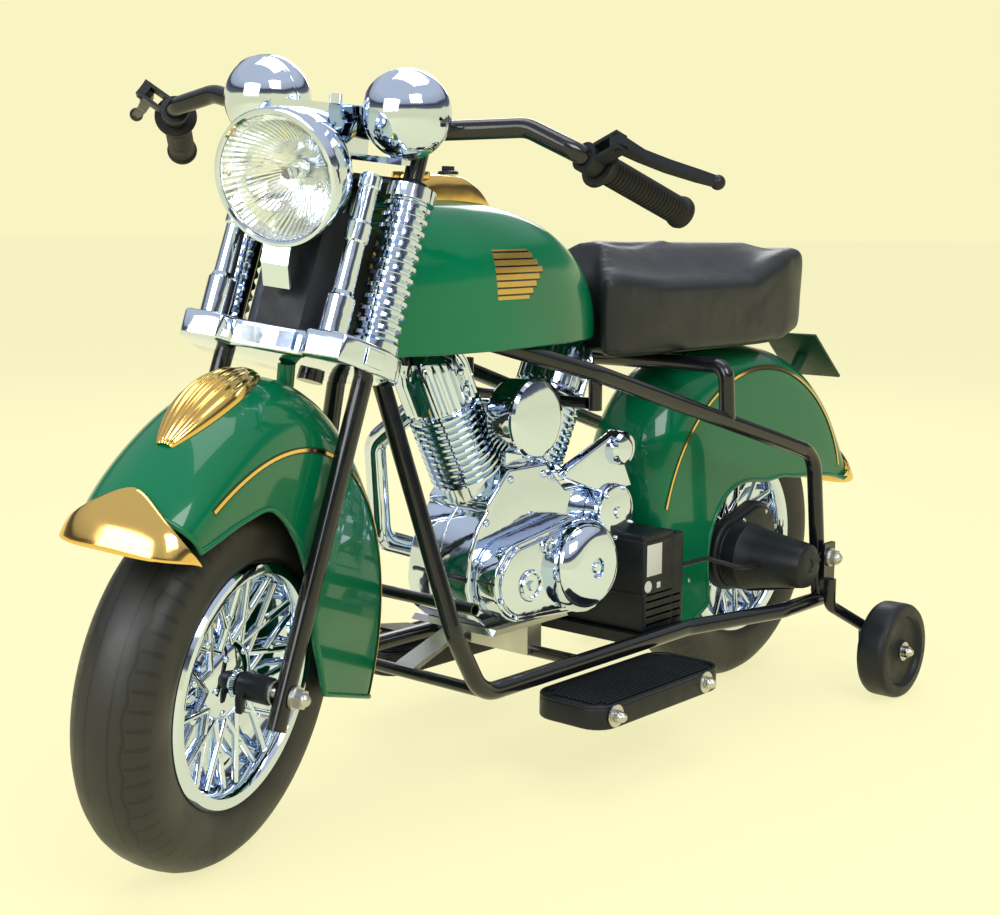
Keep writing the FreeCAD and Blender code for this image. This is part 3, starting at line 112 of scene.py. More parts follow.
class Finish:
    """A material under construction: one Principled surface and the nodes that feed it."""

    def __init__(self, name, colour=(0.5, 0.5, 0.5), rough=0.4, **fixed):
        self.material = bpy.data.materials.new(name)
        self.material.use_nodes = True
        self.tree = self.material.node_tree
        self.surface = self.tree.nodes["Principled BSDF"]
        self.put("Base Color", colour)
        self.put("Roughness", rough)
        for socket, value in fixed.items():
            self.put(socket.replace("_", " "), value)

    def put(self, socket, value):
        """Sets or links one socket of the surface."""
        target = self.surface.inputs[socket]
        if isinstance(value, Field):
            self.tree.links.new(value.socket, target)
        elif isinstance(value, tuple):
            target.default_value = (*value, 1)
        else:
            target.default_value = value
        return self

    def node(self, kind, settings=None, inputs=(), out=0):
        """Any node: its settings first, then its sockets by order or by name."""
        made = self.tree.nodes.new(kind)
        for key, value in (settings or {}).items():
            setattr(made, key, value)
        pairs = inputs.items() if isinstance(inputs, dict) else enumerate(inputs)
        for key, value in pairs:
            if isinstance(value, Field):
                self.tree.links.new(value.socket, made.inputs[key])
            else:
                made.inputs[key].default_value = value
        return Field(self, made.outputs[out])

    def place(self, centre=None, turn=None):
        """Object coordinates, moved to a centre and turned straight."""
        here = self.node("ShaderNodeTexCoord", out=3)
        if centre is None:
            return here
        back = (turn or STILL).to_3x3().inverted()
        shift = back @ (-Vector(centre))
        return self.node("ShaderNodeMapping", {}, {"Vector": here, "Location": shift,
                                                   "Rotation": back.to_euler()})

    def axes(self, vector):
        """The three parts of a vector."""
        split = self.tree.nodes.new("ShaderNodeSeparateXYZ")
        self.tree.links.new(vector.socket, split.inputs[0])
        return [Field(self, out) for out in split.outputs]

    def noise(self, scale, detail=3, vector=None):
        vector = vector or self.place()
        return self.node("ShaderNodeTexNoise", {}, {"Vector": vector, "Scale": scale, "Detail": detail})

    def blend(self, factor, first, second):
        """Colour between two colours."""
        inputs = {0: factor, 6: first if isinstance(first, Field) else (*first, 1),
                  7: second if isinstance(second, Field) else (*second, 1)}
        return self.node("ShaderNodeMix", {"data_type": "RGBA"}, inputs, out=2)

    def span(self, value, low, high, to_low, to_high):
        """Value carried from one range to another, held at its ends."""
        return self.node("ShaderNodeMapRange", {}, [value, low, high, to_low, to_high])

    def bump(self, height, depth, strength=1.0):
        """Height field pressed into the surface's normal."""
        normal = self.node("ShaderNodeBump", {}, {"Height": height, "Distance": depth, "Strength": strength})
        return self.put("Normal", normal)

    def mottled(self, light, dark, scale=14, detail=4):
        """Slow colour change over the surface."""
        return self.put("Base Color", self.blend(self.noise(scale, detail), light, dark))

    def worn(self, low, high, scale=30):
        """Roughness that changes over the surface."""
        return self.put("Roughness", self.span(self.noise(scale, 5), 0.3, 0.7, low, high))


def plated(name, light, dark, low, high, ripple=0.0004):
    """Bright vacuum-plated plastic: faint ripple and breath on a mirror."""
    finish = Finish(name, light, low, Metallic=1.0)
    finish.mottled(light, dark, 9)
    finish.worn(low, high, 26)
    return finish.bump(finish.noise(38, 2), ripple, 0.35)


# The bluish colour of the bright plating is painted reflection: it stands in for light-blue surroundings and
# offsets the cream world that the mirror takes in.
BRIGHT = plated("bright_plating", (0.72, 0.81, 0.97), (0.60, 0.69, 0.85), 0.03, 0.08, 0.0012)
GOLD = plated("gold_plating", (0.92, 0.63, 0.20), (0.80, 0.50, 0.13), 0.08, 0.17)
STEEL = plated("zinc_steel", (0.62, 0.62, 0.60), (0.48, 0.47, 0.45), 0.22, 0.42)

PANEL_LIGHT = (0.0005, 0.150, 0.066)
PANEL_DARK = (0.0005, 0.112, 0.048)


def gloss_panel(name):
    """Deep green moulding with a clear coat and slight moulding waves."""
    finish = Finish(name, PANEL_LIGHT, 0.2, Coat_Weight=0.55, Coat_Roughness=0.03, IOR=1.5,
                    Specular_IOR_Level=0.1)
    finish.mottled(PANEL_LIGHT, PANEL_DARK, 5)
    finish.worn(0.16, 0.27, 40)
    finish.bump(finish.noise(16, 1), 0.0009, 0.25)
    return finish


PANEL = gloss_panel("green_panel")


def black(name, light, dark, low, high, grain, depth, coat=0.0):
    """Black paint, plastic or rubber with its own grain."""
    finish = Finish(name, light, low, Coat_Weight=coat, Coat_Roughness=0.05, Specular_IOR_Level=0.3)
    finish.mottled(light, dark, 12)
    finish.worn(low, high, 60)
    return finish.bump(finish.noise(grain, 4), depth, 0.5)


TUBE = black("black_enamel", (0.006, 0.007, 0.010), (0.003, 0.004, 0.006), 0.16, 0.28, 90, 0.0003, 0.55)
PLASTIC = black("black_moulding", (0.009, 0.011, 0.015), (0.005, 0.007, 0.010), 0.34, 0.5, 900, 0.0002)
RUBBER = black("black_rubber", (0.012, 0.012, 0.013), (0.007, 0.007, 0.008), 0.5, 0.68, 700, 0.0003)
NYLON = black("gear_nylon", (0.62, 0.60, 0.52), (0.52, 0.50, 0.43), 0.4, 0.55, 300, 0.0002)
LABEL = black("blank_label", (0.62, 0.63, 0.62), (0.50, 0.51, 0.50), 0.45, 0.6, 500, 0.0001)
PLATE_GREEN = black("dark_green_plate", (0.010, 0.060, 0.035), (0.006, 0.040, 0.022), 0.3, 0.45, 200, 0.0002)
STRIPE_DARK = black("stripe_edge", (0.020, 0.030, 0.012), (0.012, 0.018, 0.008), 0.3, 0.4, 200, 0.0001)


def tread_rubber(name, centre, turn):
    """Moulded tyre: grooves round the tread, stepped blocks beside it and rings on the walls, with the
    grooves and blocks coloured darker as painted shade.
    """
    finish = Finish(name, (0.012, 0.012, 0.013), 0.5)
    along, width, up = finish.axes(finish.place(centre, turn))
    angle = finish.node("ShaderNodeMath", {"operation": "ARCTAN2"}, [up, along])
    radius = finish.node("ShaderNodeMath", {"operation": "SQRT"}, [along * along + up * up])
    side = width.maths("ABSOLUTE")
    turn_count = angle * (1 / (2 * math.pi))
    steps = (turn_count * 64).maths("FRACT")
    zigzag = (turn_count * 32).maths("PINGPONG", 0.5)
    on_tread = radius > 0.1655

    def line(value, middle, half):
        """One where a value lies within half of the middle."""
        return (value - middle).maths("ABSOLUTE") < half

    middle_groove = line(side, 0.0115, 0.0011)
    second_groove = line(side + zigzag * 0.006, 0.0245, 0.0013)
    blocks = line(steps, 0.5, 0.09) * line(side, 0.0300, 0.0048)
    shoulder = line(steps, 0.5, 0.14) * (side > 0.0335) * (radius > 0.158)
    rings = line(radius, 0.1495, 0.0012) + line(radius, 0.1555, 0.0009) + line(radius, 0.1285, 0.0012)
    cut = (middle_groove + second_groove + blocks) * on_tread + shoulder
    cut = cut.maths("MINIMUM", 1.0)
    grain = finish.noise(800, 3)
    height = 1.0 - cut + rings * 0.4 * (1.0 - on_tread) + grain * 0.05
    # Painted shade: the grooves and shoulder blocks are coloured darker than the tread, standing in for shade
    # in the recesses that the bump presses in.
    finish.put("Base Color", finish.blend(cut, (0.012, 0.012, 0.013), (0.004, 0.004, 0.004)))
    finish.put("Roughness", finish.span(finish.noise(20, 4), 0.3, 0.7, 0.38, 0.56))
    return finish.bump(height, 0.0022, 0.9)


def clear_lens():
    """Moulded clear lens with faint upright flutes."""
    finish = Finish("lens_clear", (0.97, 0.98, 0.98), 0.02, Transmission_Weight=1.0, IOR=1.45)
    finish.put("Roughness", finish.span(finish.noise(60, 3), 0.3, 0.7, 0.01, 0.05))
    return finish.bump(finish.noise(120, 1), 0.0003, 0.3)


LENS = clear_lens()
BULB = Finish("bulb_glass", (0.9, 0.92, 0.95), 0.05, Transmission_Weight=0.8, IOR=1.4).worn(0.02, 0.1)


# ------------------------------------------------------------------ modelling by operators
def free():
    """Object mode with nothing selected."""
    if bpy.context.object and bpy.context.object.mode != "OBJECT":
        bpy.ops.object.mode_set(mode="OBJECT")
    bpy.ops.object.select_all(action="DESELECT")


def only(piece):
    """Selects one piece and makes it active."""
    free()
    piece.select_set(True)
    bpy.context.view_layer.objects.active = piece
    return piece


def settled(piece):
    """Puts a piece's place into its mesh."""
    only(piece)
    bpy.ops.object.transform_apply(location=True, rotation=True, scale=True)
    return piece


def smoothed(piece, angle=35):
    only(piece)
    bpy.ops.object.shade_smooth_by_angle(angle=math.radians(angle))
    return piece


def applied(piece, kind, **settings):
    """Adds one modifier and applies it."""
    only(piece)
    modifier = piece.modifiers.new(kind.lower(), kind)
    for key, value in settings.items():
        setattr(modifier, key, value)
    bpy.ops.object.modifier_apply(modifier=modifier.name)
    return piece


def bevelled(piece, width=2.0, segments=3, angle=35):
    applied(piece, "BEVEL", width=width * MM, segments=segments, limit_method="ANGLE",
            angle_limit=math.radians(angle), use_clamp_overlap=True)
    return smoothed(piece, 40)


def chain(name, points):
    """Edges through points given in millimetres, left in edit mode."""
    free()
    bpy.ops.mesh.primitive_plane_add(size=MM, location=Vector(points[0]) * MM)
    piece = bpy.context.object
    piece.name = name
    bpy.ops.object.transform_apply(location=True, rotation=True, scale=True)
    bpy.ops.object.mode_set(mode="EDIT")
    bpy.ops.mesh.select_all(action="SELECT")
    bpy.ops.mesh.merge(type="CENTER")
    for before, after in zip(points, points[1:]):
        step = (Vector(after) - Vector(before)) * MM
        bpy.ops.mesh.extrude_region_move(TRANSFORM_OT_translate={"value": step})
    return piece


def lathe(name, outline, centre=(0, 0, 0), axis=ACROSS, steps=64, angle=35):
    """Piece turned about an axis from a closed (radius, along) outline."""
    axis = Vector(axis).normalized()
    aside = axis.orthogonal().normalized()
    centre = Vector(centre)
    closed = list(outline)
    if outline[0][0] > 0.01 or outline[-1][0] > 0.01:
        closed.append(outline[0])
    piece = chain(name, [centre + aside * r + axis * a for r, a in closed])
    bpy.ops.mesh.select_all(action="SELECT")
    bpy.ops.mesh.spin(steps=steps, angle=2 * math.pi, center=centre * MM, axis=axis)
    bpy.ops.mesh.select_all(action="SELECT")
    bpy.ops.mesh.remove_doubles(threshold=0.00002)
    bpy.ops.mesh.normals_make_consistent(inside=False)
    return smoothed(piece, angle)


def screw(name, centre, axis, radius, high, sides=24):
    """Domed screw or rivet head."""
    return lathe(name, [(0, high), (radius * 0.5, high * 0.92), (radius * 0.85, high * 0.6),
                        (radius, high * 0.15),
                        (radius, -1), (0, -1)], centre, axis, sides)


def slab(name, outline, push, bevel=2.0, segments=3):
    """Flat outline pushed along a vector, with rounded edges."""
    piece = chain(name, outline)
    bpy.ops.mesh.select_all(action="SELECT")
    bpy.ops.mesh.edge_face_add()
    bpy.ops.mesh.extrude_region_move(TRANSFORM_OT_translate={"value": Vector(push) * MM})
    bpy.ops.mesh.select_all(action="SELECT")
    bpy.ops.mesh.normals_make_consistent(inside=False)
    free()
    return bevelled(piece, bevel, segments) if bevel else smoothed(piece)


def block(name, low, high, bevel=2.0):
    """Box between two corners with rounded edges."""
    free()
    low, high = Vector(low), Vector(high)
    bpy.ops.mesh.primitive_cube_add(size=1, location=(low + high) / 2 * MM)
    piece = bpy.context.object
    piece.name = name
    piece.scale = (high - low) * MM
    return bevelled(settled(piece), bevel)


def bar(name, start, end, radius, sides=20):
    """Round bar between two points."""
    start, end = Vector(start), Vector(end)
    line = end - start
    free()
    bpy.ops.mesh.primitive_cylinder_add(vertices=sides, radius=radius * MM, depth=line.length * MM,
                                        location=(start + end) / 2 * MM,
                                        rotation=line.to_track_quat("Z", "Y").to_euler())
    piece = bpy.context.object
    piece.name = name
    return smoothed(settled(piece), 40)


def pipe(name, points, radius, closed=False):
    """Round line through points, as a mesh."""
    free()
    data = bpy.data.curves.new(name, "CURVE")
    data.dimensions = "3D"
    data.bevel_depth = radius * MM
    data.bevel_resolution = 3
    data.use_fill_caps = not closed
    run = data.splines.new("POLY")
    run.points.add(len(points) - 1)
    for spot, point in zip(run.points, points):
        spot.co = (*(Vector(point) * MM), 1)
    run.use_cyclic_u = closed
    piece = bpy.data.objects.new(name, data)
    bpy.context.collection.objects.link(piece)
    only(piece)
    bpy.ops.object.convert(target="MESH")
    return smoothed(bpy.context.object, 60)


def draw_on(points):
    """Adds a new line of edges through points to the piece in edit mode, all of it selected."""
    bpy.ops.mesh.select_all(action="DESELECT")
    bpy.ops.mesh.primitive_plane_add(size=MM, location=Vector(points[0]) * MM)
    bpy.ops.mesh.merge(type="CENTER")
    for before, after in zip(points, points[1:]):
        step = (Vector(after) - Vector(before)) * MM
        bpy.ops.mesh.extrude_region_move(TRANSFORM_OT_translate={"value": step})
    bpy.ops.mesh.select_linked()


def loft(name, courses, closed=False):
    """Skin bridged over courses of points that all have the same count."""
    if closed:
        courses = [course + course[:1] for course in courses]
    piece = chain(name, courses[0])
    bpy.ops.mesh.select_all(action="SELECT")
    bpy.ops.mesh.remove_doubles(threshold=0.000001)
    for course in courses[1:]:
        last = piece.vertex_groups.new(name="last_course")
        bpy.ops.object.vertex_group_assign()
        draw_on(course)
        bpy.ops.mesh.remove_doubles(threshold=0.000001)
        fresh = piece.vertex_groups.new(name="fresh_course")
        bpy.ops.object.vertex_group_assign()
        piece.vertex_groups.active = last
        bpy.ops.object.vertex_group_select()
        bpy.ops.mesh.bridge_edge_loops()
        piece.vertex_groups.remove(last)
        bpy.ops.mesh.select_all(action="DESELECT")
        piece.vertex_groups.active = fresh
        bpy.ops.object.vertex_group_select()
        piece.vertex_groups.remove(fresh)
    free()
    return piece


def skin(name, columns, rows, where):
    """Open skin over where(u, v), u along it and v across, both from 0 to 1."""
    return loft(name, [[where(u / columns, v / rows) for v in range(rows + 1)] for u in range(columns + 1)])


def joined(name, pieces):
    """Several pieces as one."""
    free()
    for piece in pieces:
        piece.select_set(True)
    bpy.context.view_layer.objects.active = pieces[0]
    bpy.ops.object.join()
    whole = bpy.context.object
    whole.name = name
    return whole


def copied(piece, name, move):
    """Copy of a piece with its own mesh, moved by a matrix."""
    twin = piece.copy()
    twin.data = piece.data.copy()
    twin.name = name
    bpy.context.collection.objects.link(twin)
    twin.data.transform(move)
    if move.determinant() < 0:
        twin.data.flip_normals()
    return twin


MIRROR = Matrix.Diagonal((1, -1, 1, 1))


def both(piece, name, other):
    """A piece and its mirror image joined in one."""
    return joined(name, [piece, copied(piece, other, MIRROR)])




def fit(piece, finish, body="frame", instead=(), steer=False):
    """Gives a finished piece its material, its body and the nodes it stands for."""
    if steer:
        piece.data.transform(STEER)
    piece.data.materials.clear()
    piece.data.materials.append(finish.material)
    if instead:
        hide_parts(*instead)
    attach(piece, body)
    return piece


def on_fork(piece, finish, instead=()):
    return fit(piece, finish, "fork", instead, steer=True)


# ------------------------------------------------------------------ road wheels
TYRE_HALF = [(180, 0), (179.6, 8), (178.4, 16), (175.6, 24), (171, 31), (165, 36.5), (157, 40), (147, 41),
             (135, 40.2), (125, 37.6), (118.5, 34), (113, 29)]
RIM_HALF = [(112, 24), (117.6, 31), (118, 35), (115.5, 38.2), (110.5, 39.2), (105.5, 38), (103, 34.5),
            (101.8, 29), (100, 20), (94, 14), (80, 9.5), (60, 8), (42, 8), (40.5, 12), (38, 16.5),
            (32, 20.5), (23, 23.5), (14, 25), (13, 29), (11, 30), (6.2, 30)]
SPOKES = 12


def whole_outline(half):
    """Both sides of a symmetrical outline, from one side's points."""
    return [(r, -w) for r, w in reversed(half) if w] + half


def wheel_rim(name):
    """Plated wheel: deep lip, bowl, crossed spokes in front of it and riveted hub."""
    rim = lathe(name, whole_outline(RIM_HALF), steps=96, angle=28)
    parts = [rim]
    for side in (-1, 1):
        for lean in (-1, 1):
            swing = math.radians(25 * lean)
            foot = Vector((37, 15 * side, 0))
            head = Vector((101 * math.cos(swing), (25 + lean) * side, 101 * math.sin(swing)))
            spoke = bar(name + "_spoke", foot, head, 3.5, 10)
            only(spoke)
            bpy.ops.object.mode_set(mode="EDIT")
            bpy.ops.mesh.select_all(action="SELECT")
            bpy.ops.mesh.spin(steps=SPOKES, dupli=True, angle=2 * math.pi, center=(0, 0, 0), axis=(0, 1, 0))
            free()
            parts.append(spoke)
        for turn in range(6):
            angle = 2 * math.pi * turn / 6
            parts.append(screw(name + "_rivet", (30 * math.cos(angle), 20.5 * side, 30 * math.sin(angle)),
                               ACROSS * side, 3.4, 3.2, 16))
        for turn in range(SPOKES):
            angle = 2 * math.pi * (turn + 0.5) / SPOKES
            parts.append(screw(name + "_crossing", (68 * math.cos(angle), 19.5 * side, 68 * math.sin(angle)),
                               ACROSS * side, 4.6, 4.6, 12))
    return joined(name, parts)


rear_rim = wheel_rim("rear_wheel_rim")
front_rim = copied(rear_rim, "front_wheel_rim", Matrix.Translation(FRONT_AXLE * MM))
rear_rim.data.transform(Matrix.Translation(REAR_AXLE * MM))
fit(front_rim, BRIGHT, "front_wheel", ["front_rim"], steer=True)
fit(rear_rim, BRIGHT, "rear_wheel", ["rear_rim"])
for end, centre, move in (("front", FRONT_AXLE, STEER), ("rear", REAR_AXLE, STILL)):
    tyre = lathe(f"{end}_wheel_tyre", whole_outline(TYRE_HALF), centre, steps=128, angle=50)
    rubber = tread_rubber(f"{end}_tread", move @ (centre * MM), move)
    fit(tyre, rubber, f"{end}_wheel", [f"{end}_tyre"], steer=end == "front")


sleeves = []
for side in (-1, 1):
    along = ACROSS * side
    sleeves.append(lathe("axle_sleeve", [(6.3, 30.6), (12.4, 31), (13, 32), (13, 62), (12, 63.4),
                                         (6.3, 63.6)],
                         FRONT_AXLE, along, 40))
    sleeves.append(slab("sleeve_key", [FRONT_AXLE + along * 33 + Vector(p) for p in
                                       ((6, 0, 6), (16, 0, -8), (13, 0, -24), (6, 0, -22), (7, 0, -8),
                                        (0, 0, -4))],
                        along * 7, 1.2))
on_fork(joined("axle_sleeves", sleeves), PLASTIC)

# ------------------------------------------------------------------ fenders
FRONT_FENDER = [(51, 247, 205, 58, 212), (58, 252, 196, 60, 214), (70, 262, 186, 61, 217),
                (82, 275, 178, 61, 220), (95, 283, 152, 61, 221), (108, 281, 128, 61, 221),
                (120, 270, 110, 61, 221), (134, 254, 96, 61, 220), (150, 242, 86, 61, 220),
                (166, 236, 84, 61, 220), (182, 233, 94, 61, 220), (198, 230, 112, 61, 220)]
REAR_FENDER = [(-27, 208, 122, 62, 192), (-12, 214, 116, 62, 198), (4, 223, 114, 62, 206),
               (20, 246, 112, 62, 218), (36, 276, 108, 62, 228), (52, 290, 102, 62, 230),
               (70, 276, 92, 62, 226), (90, 262, 84, 62, 222), (108, 262, 86, 62, 222),
               (125, 264, 102, 62, 222), (140, 266, 124, 62, 222), (153, 270, 168, 61, 224),
               (165, 278, 236, 58, 242)]


def eased(stations, u):
    """Smooth course through a table's rows, u from 0 to 1."""
    spot = u * (len(stations) - 1)
    i = min(int(spot), len(stations) - 2)
    t = spot - i
    rows = [stations[max(i - 1, 0)], stations[i], stations[i + 1], stations[min(i + 2, len(stations) - 1)]]
    return [0.5 * (2 * b + (c - a) * t + (2 * a - 5 * b + 4 * c - d) * t * t
                   + (3 * b - a - 3 * c + d) * t ** 3)
            for a, b, c, d in zip(*rows)]


def at_angle(stations, angle):
    """A table's row at an angle."""
    rows = stations if stations[0][0] < stations[-1][0] else stations[::-1]
    angle = min(max(angle, rows[0][0]), rows[-1][0])
    for i, (before, after) in enumerate(zip(rows, rows[1:])):
        if angle <= after[0]:
            share = (angle - before[0]) / (after[0] - before[0])
            return eased(rows, (i + share) / (len(rows) - 1))


def arch_point(centre, stations, u, v, lift=0.0):
    """Point of a fender: u along it, v from one skirt over the crown to the other."""
    angle, crown, skirt, half, shoulder = eased(stations, u)
    side = 1 if v < 0.5 else -1
    reach = min(v, 1 - v) * 2
    wall = 0.36
    if reach < wall:
        y = half + lift
        r = skirt + (shoulder - skirt) * reach / wall
    else:
        turn = math.pi / 2 * (reach - wall) / (1 - wall)
        y = (half + lift) * math.cos(turn)
        r = shoulder + (crown + lift - shoulder) * math.sin(turn)
    out = Vector((math.cos(math.radians(angle)), 0, math.sin(math.radians(angle))))
    return centre + out * r + ACROSS * (y * side)


def fender_skin(name, centre, stations, columns=30, rows=24, wall=3.6):
    """Moulded fender with its wall, and a rolled bead round its edge."""
    shell = skin(name, columns, rows, lambda u, v: arch_point(centre, stations, u, v))
    outward_first = shell.data.polygons[len(shell.data.polygons) // 2]
    middle = Vector(outward_first.center) - centre * MM
    if outward_first.normal.dot(middle) < 0:
        shell.data.flip_normals()
    applied(shell, "SUBSURF", levels=1, render_levels=1)
    applied(shell, "SOLIDIFY", thickness=wall * MM, offset=-1)
    edge = [arch_point(centre, stations, u / 60, 0.004) for u in range(61)]
    far = [arch_point(centre, stations, 1, 0.004 + v / 41) for v in range(41)]
    back = [arch_point(centre, stations, 1 - u / 60, 0.996) for u in range(61)]
    near = [arch_point(centre, stations, 0, 0.996 - v / 41) for v in range(41)]
    bead = pipe(name + "_bead", edge + far + back + near, 2.6, closed=True)
    return smoothed(joined(name, [shell, bead]), 45)


def pinstripe(name, centre, stations, first, last, radius, wide, lift):
    """Painted line on both sides at a distance from the axle."""
    lines = []
    for side in (1, -1):

        def where(u, v):
            share = first + (last - first) * u
            angle, crown, skirt, half, shoulder = eased(stations, share)
            r = radius(angle) + (v - 0.5) * wide
            rise = max(r - shoulder, 0) / (crown - shoulder)
            y = half * math.sqrt(max(1 - rise * rise, 0)) + lift
            out = Vector((math.cos(math.radians(angle)), 0, math.sin(math.radians(angle))))
            return centre + out * (r + lift * rise) + ACROSS * (y * side)

        line = skin(name, 2, 48, lambda u, v: where(v, u))
        if line.data.polygons[0].normal.y * side < 0:
            line.data.flip_normals()
        lines.append(applied(line, "SOLIDIFY", thickness=0.3 * MM, offset=-1))
    return smoothed(joined(name, lines), 60)


def front_line(angle):
    return 222 + 3 * math.sin(math.radians(angle - 60) * 1.3)


def rear_line(angle):
    return 214 + 19 * math.sin(math.radians(max(angle, 0)) * 0.9)


front_fender = fender_skin("front_fender_panel", FRONT_AXLE, FRONT_FENDER)
post = bar("fender_post", fork_at(37, 0, 258), fork_at(52, 0, 300), 8.5)
on_fork(joined("front_fender_panel", [front_fender, post]), PANEL, ["front_fender"])
rear_fender = fender_skin("rear_fender_panel", REAR_AXLE, REAR_FENDER)
fit(rear_fender, PANEL, "frame", ["rear_fender"])
on_fork(pinstripe("front_stripe_edge", FRONT_AXLE, FRONT_FENDER, 0.10, 0.995, front_line, 5.6, 0.35),
        STRIPE_DARK)
on_fork(pinstripe("front_stripe", FRONT_AXLE, FRONT_FENDER, 0.10, 0.995, front_line, 3.0, 0.6), GOLD)
fit(pinstripe("rear_stripe_edge", REAR_AXLE, REAR_FENDER, 0.25, 0.95, rear_line, 5.6, 0.35), STRIPE_DARK)
fit(pinstripe("rear_stripe", REAR_AXLE, REAR_FENDER, 0.25, 0.95, rear_line, 3.0, 0.6), GOLD, "frame")


FRONT_CAP = [(37, 229, 214, 57, 217), (42, 238, 207, 61, 213), (47, 245, 203, 63, 212),
             (52, 248, 201, 61, 213), (58, 253, 198, 60.5, 215), (66, 260, 196, 61, 216)]
REAR_CAP = [(146, 267, 150, 61, 222), (153, 271, 180, 61, 223), (160, 276, 215, 62, 234),
            (167, 281, 240, 61, 250), (174, 283, 258, 50, 264), (177, 281, 266, 40, 271)]


def gold_cap(name, centre, stations, edge, wing, peak, flare):
    """Gold cap on a fender's end: a crescent from wing to wing with a peak on the crown."""
    def where(u, v):
        reach = abs(2 * v - 1)
        outer = edge + (wing - edge) * reach ** 2.2
        inner = wing + (peak - wing) * (1 - reach) ** 2.4
        angle = outer + (inner - outer) * u
        _, crown, skirt, half, shoulder = at_angle(stations, angle)
        lift = 1.8 + flare * (1 - u) ** 2
        turn = math.pi / 2 * (1 - reach ** 0.9)
        out = Vector((math.cos(math.radians(angle)), 0, math.sin(math.radians(angle))))
        r = skirt + (crown + lift - skirt) * math.sin(turn) ** 0.8
        y = (half + lift) * math.cos(turn) ** 0.8 * math.copysign(1, 1 - 2 * v)
        return centre + out * r + ACROSS * y

    cap = skin(name, 7, 36, where)
    middle = cap.data.polygons[len(cap.data.polygons) // 2]
    if middle.normal.dot(middle.center - centre * MM) < 0:
        cap.data.flip_normals()
    applied(cap, "SOLIDIFY", thickness=3 * MM, offset=0)
    applied(cap, "SUBSURF", levels=1, render_levels=1)
    return smoothed(cap, 60)


front_cap = gold_cap("front_gold_cap", FRONT_AXLE, FRONT_CAP, 41.5, 47.5, 55.5, 0)
rear_cap = gold_cap("rear_gold_cap", REAR_AXLE, REAR_CAP, 171, 163, 152, 0.4)


def crest():
    """Streamlined crest on the crown: a fluted teardrop."""
    def where(u, v):
        swell = math.sin(math.pi * min(u * 0.92 + 0.06, 1)) ** 0.7
        across = (v - 0.5) * 2
        half = 27 * swell
        crown = at_angle(FRONT_FENDER, 66 + 32 * u)
        out = Vector((math.cos(math.radians(crown[0])), 0, math.sin(math.radians(crown[0]))))
        y = half * across
        drop = (crown[1] - crown[4]) * (1 - math.sqrt(max(1 - (y / crown[3]) ** 2, 0)))
        bulge = 15 * swell * math.sqrt(max(1 - across * across, 0))
        flute = 1.3 * swell * math.cos(across * math.pi * 7) * (1 - across ** 4)
        return FRONT_AXLE + out * (crown[1] - drop - 1 + bulge + flute) + ACROSS * y

    body = skin("crest", 16, 44, where)
    middle = body.data.polygons[len(body.data.polygons) // 2]
    if middle.normal.dot(middle.center - FRONT_AXLE * MM) < 0:
        body.data.flip_normals()
    applied(body, "SOLIDIFY", thickness=2 * MM, offset=-1)
    applied(body, "SUBSURF", levels=1, render_levels=1)
    return smoothed(body, 60)


on_fork(joined("front_gold_trim", [front_cap, crest()]), GOLD, ["front_fender_trim"])
TAIL = math.radians(131)
TAIL_OUT = Vector((math.cos(TAIL), 0, math.sin(TAIL)))
TAIL_ALONG = Vector((math.sin(TAIL), 0, -math.cos(TAIL)))
corners = [REAR_AXLE + TAIL_OUT * 308 + TAIL_ALONG * a + ACROSS * y
           for a, y in ((47, 42), (-47, 42), (-47, -42), (47, -42))]
plate = slab("tail_plate", corners, TAIL_OUT * 4, 1.2)
stand = bar("tail_stand", REAR_AXLE + TAIL_OUT * 262, REAR_AXLE + TAIL_OUT * 308, 8)
fit(joined("tail_plate", [plate, stand]), PLATE_GREEN, "frame")
fit(rear_cap, GOLD, "frame", ["rear_fender_trim"])

# ------------------------------------------------------------------ tank
TANK = [(320, 30, 500), (335, 44, 532), (370, 62, 568), (420, 76, 595), (480, 86, 611), (540, 92, 617),
        (600, 90, 616), (650, 80, 610), (695, 64, 600)]
TANK_CURVE = [(1, 0), (1.0, 0.12), (1, 0.3), (0.955, 0.55), (0.83, 0.77), (0.60, 0.92), (0.3, 0.985), (0, 1)]


def tank_at(x):
    """Half width and top height of the tank at a place along it."""
    for before, after in zip(TANK, TANK[1:]):
        if before[0] <= x <= after[0]:
            share = (x - before[0]) / (after[0] - before[0])
            index = TANK.index(before)
            return eased(TANK, (index + share) / (len(TANK) - 1))[1:]
    return TANK[-1][1:]


def tank_front(z):
    """Plane of the tank's front, parallel to the steering axis."""
    return AXIS_FOOT.x - math.tan(RAKE) * (z - AXIS_FOOT.z) - 27.7


def tank_point(u, v, inset=0.0):
    reach = min(v, 1 - v) * 2
    side = 1 if v < 0.5 else -1
    share, rise = eased(TANK_CURVE, reach)
    z = 540
    for _ in range(3):
        x = 320 + (tank_front(z) - 320) * (u ** 0.9)
        half, top = tank_at(min(max(x, 320), 695))
        z = 470 + (top - 470) * rise
    return Vector((x, (half - inset) * share * side, z))


tank = skin("fuel_tank_shell", 28, 32, tank_point)
if tank.data.polygons[len(tank.data.polygons) // 2].normal.z < 0:
    tank.data.flip_normals()
applied(tank, "SUBSURF", levels=1, render_levels=1)
applied(tank, "SOLIDIFY", thickness=3.8 * MM, offset=-1)
rim_line = [tank_point(u / 50, 0.004) for u in range(51)]
rim_line += [tank_point(1, 0.004 + 0.992 * v / 60) for v in range(61)]
rim_line += [tank_point(1 - u / 50, 0.996) for u in range(51)]
tank_bead = pipe("tank_bead", rim_line + [tank_point(0, 0.996 - 0.992 * v / 12) for v in range(13)], 2.4,
                 closed=True)


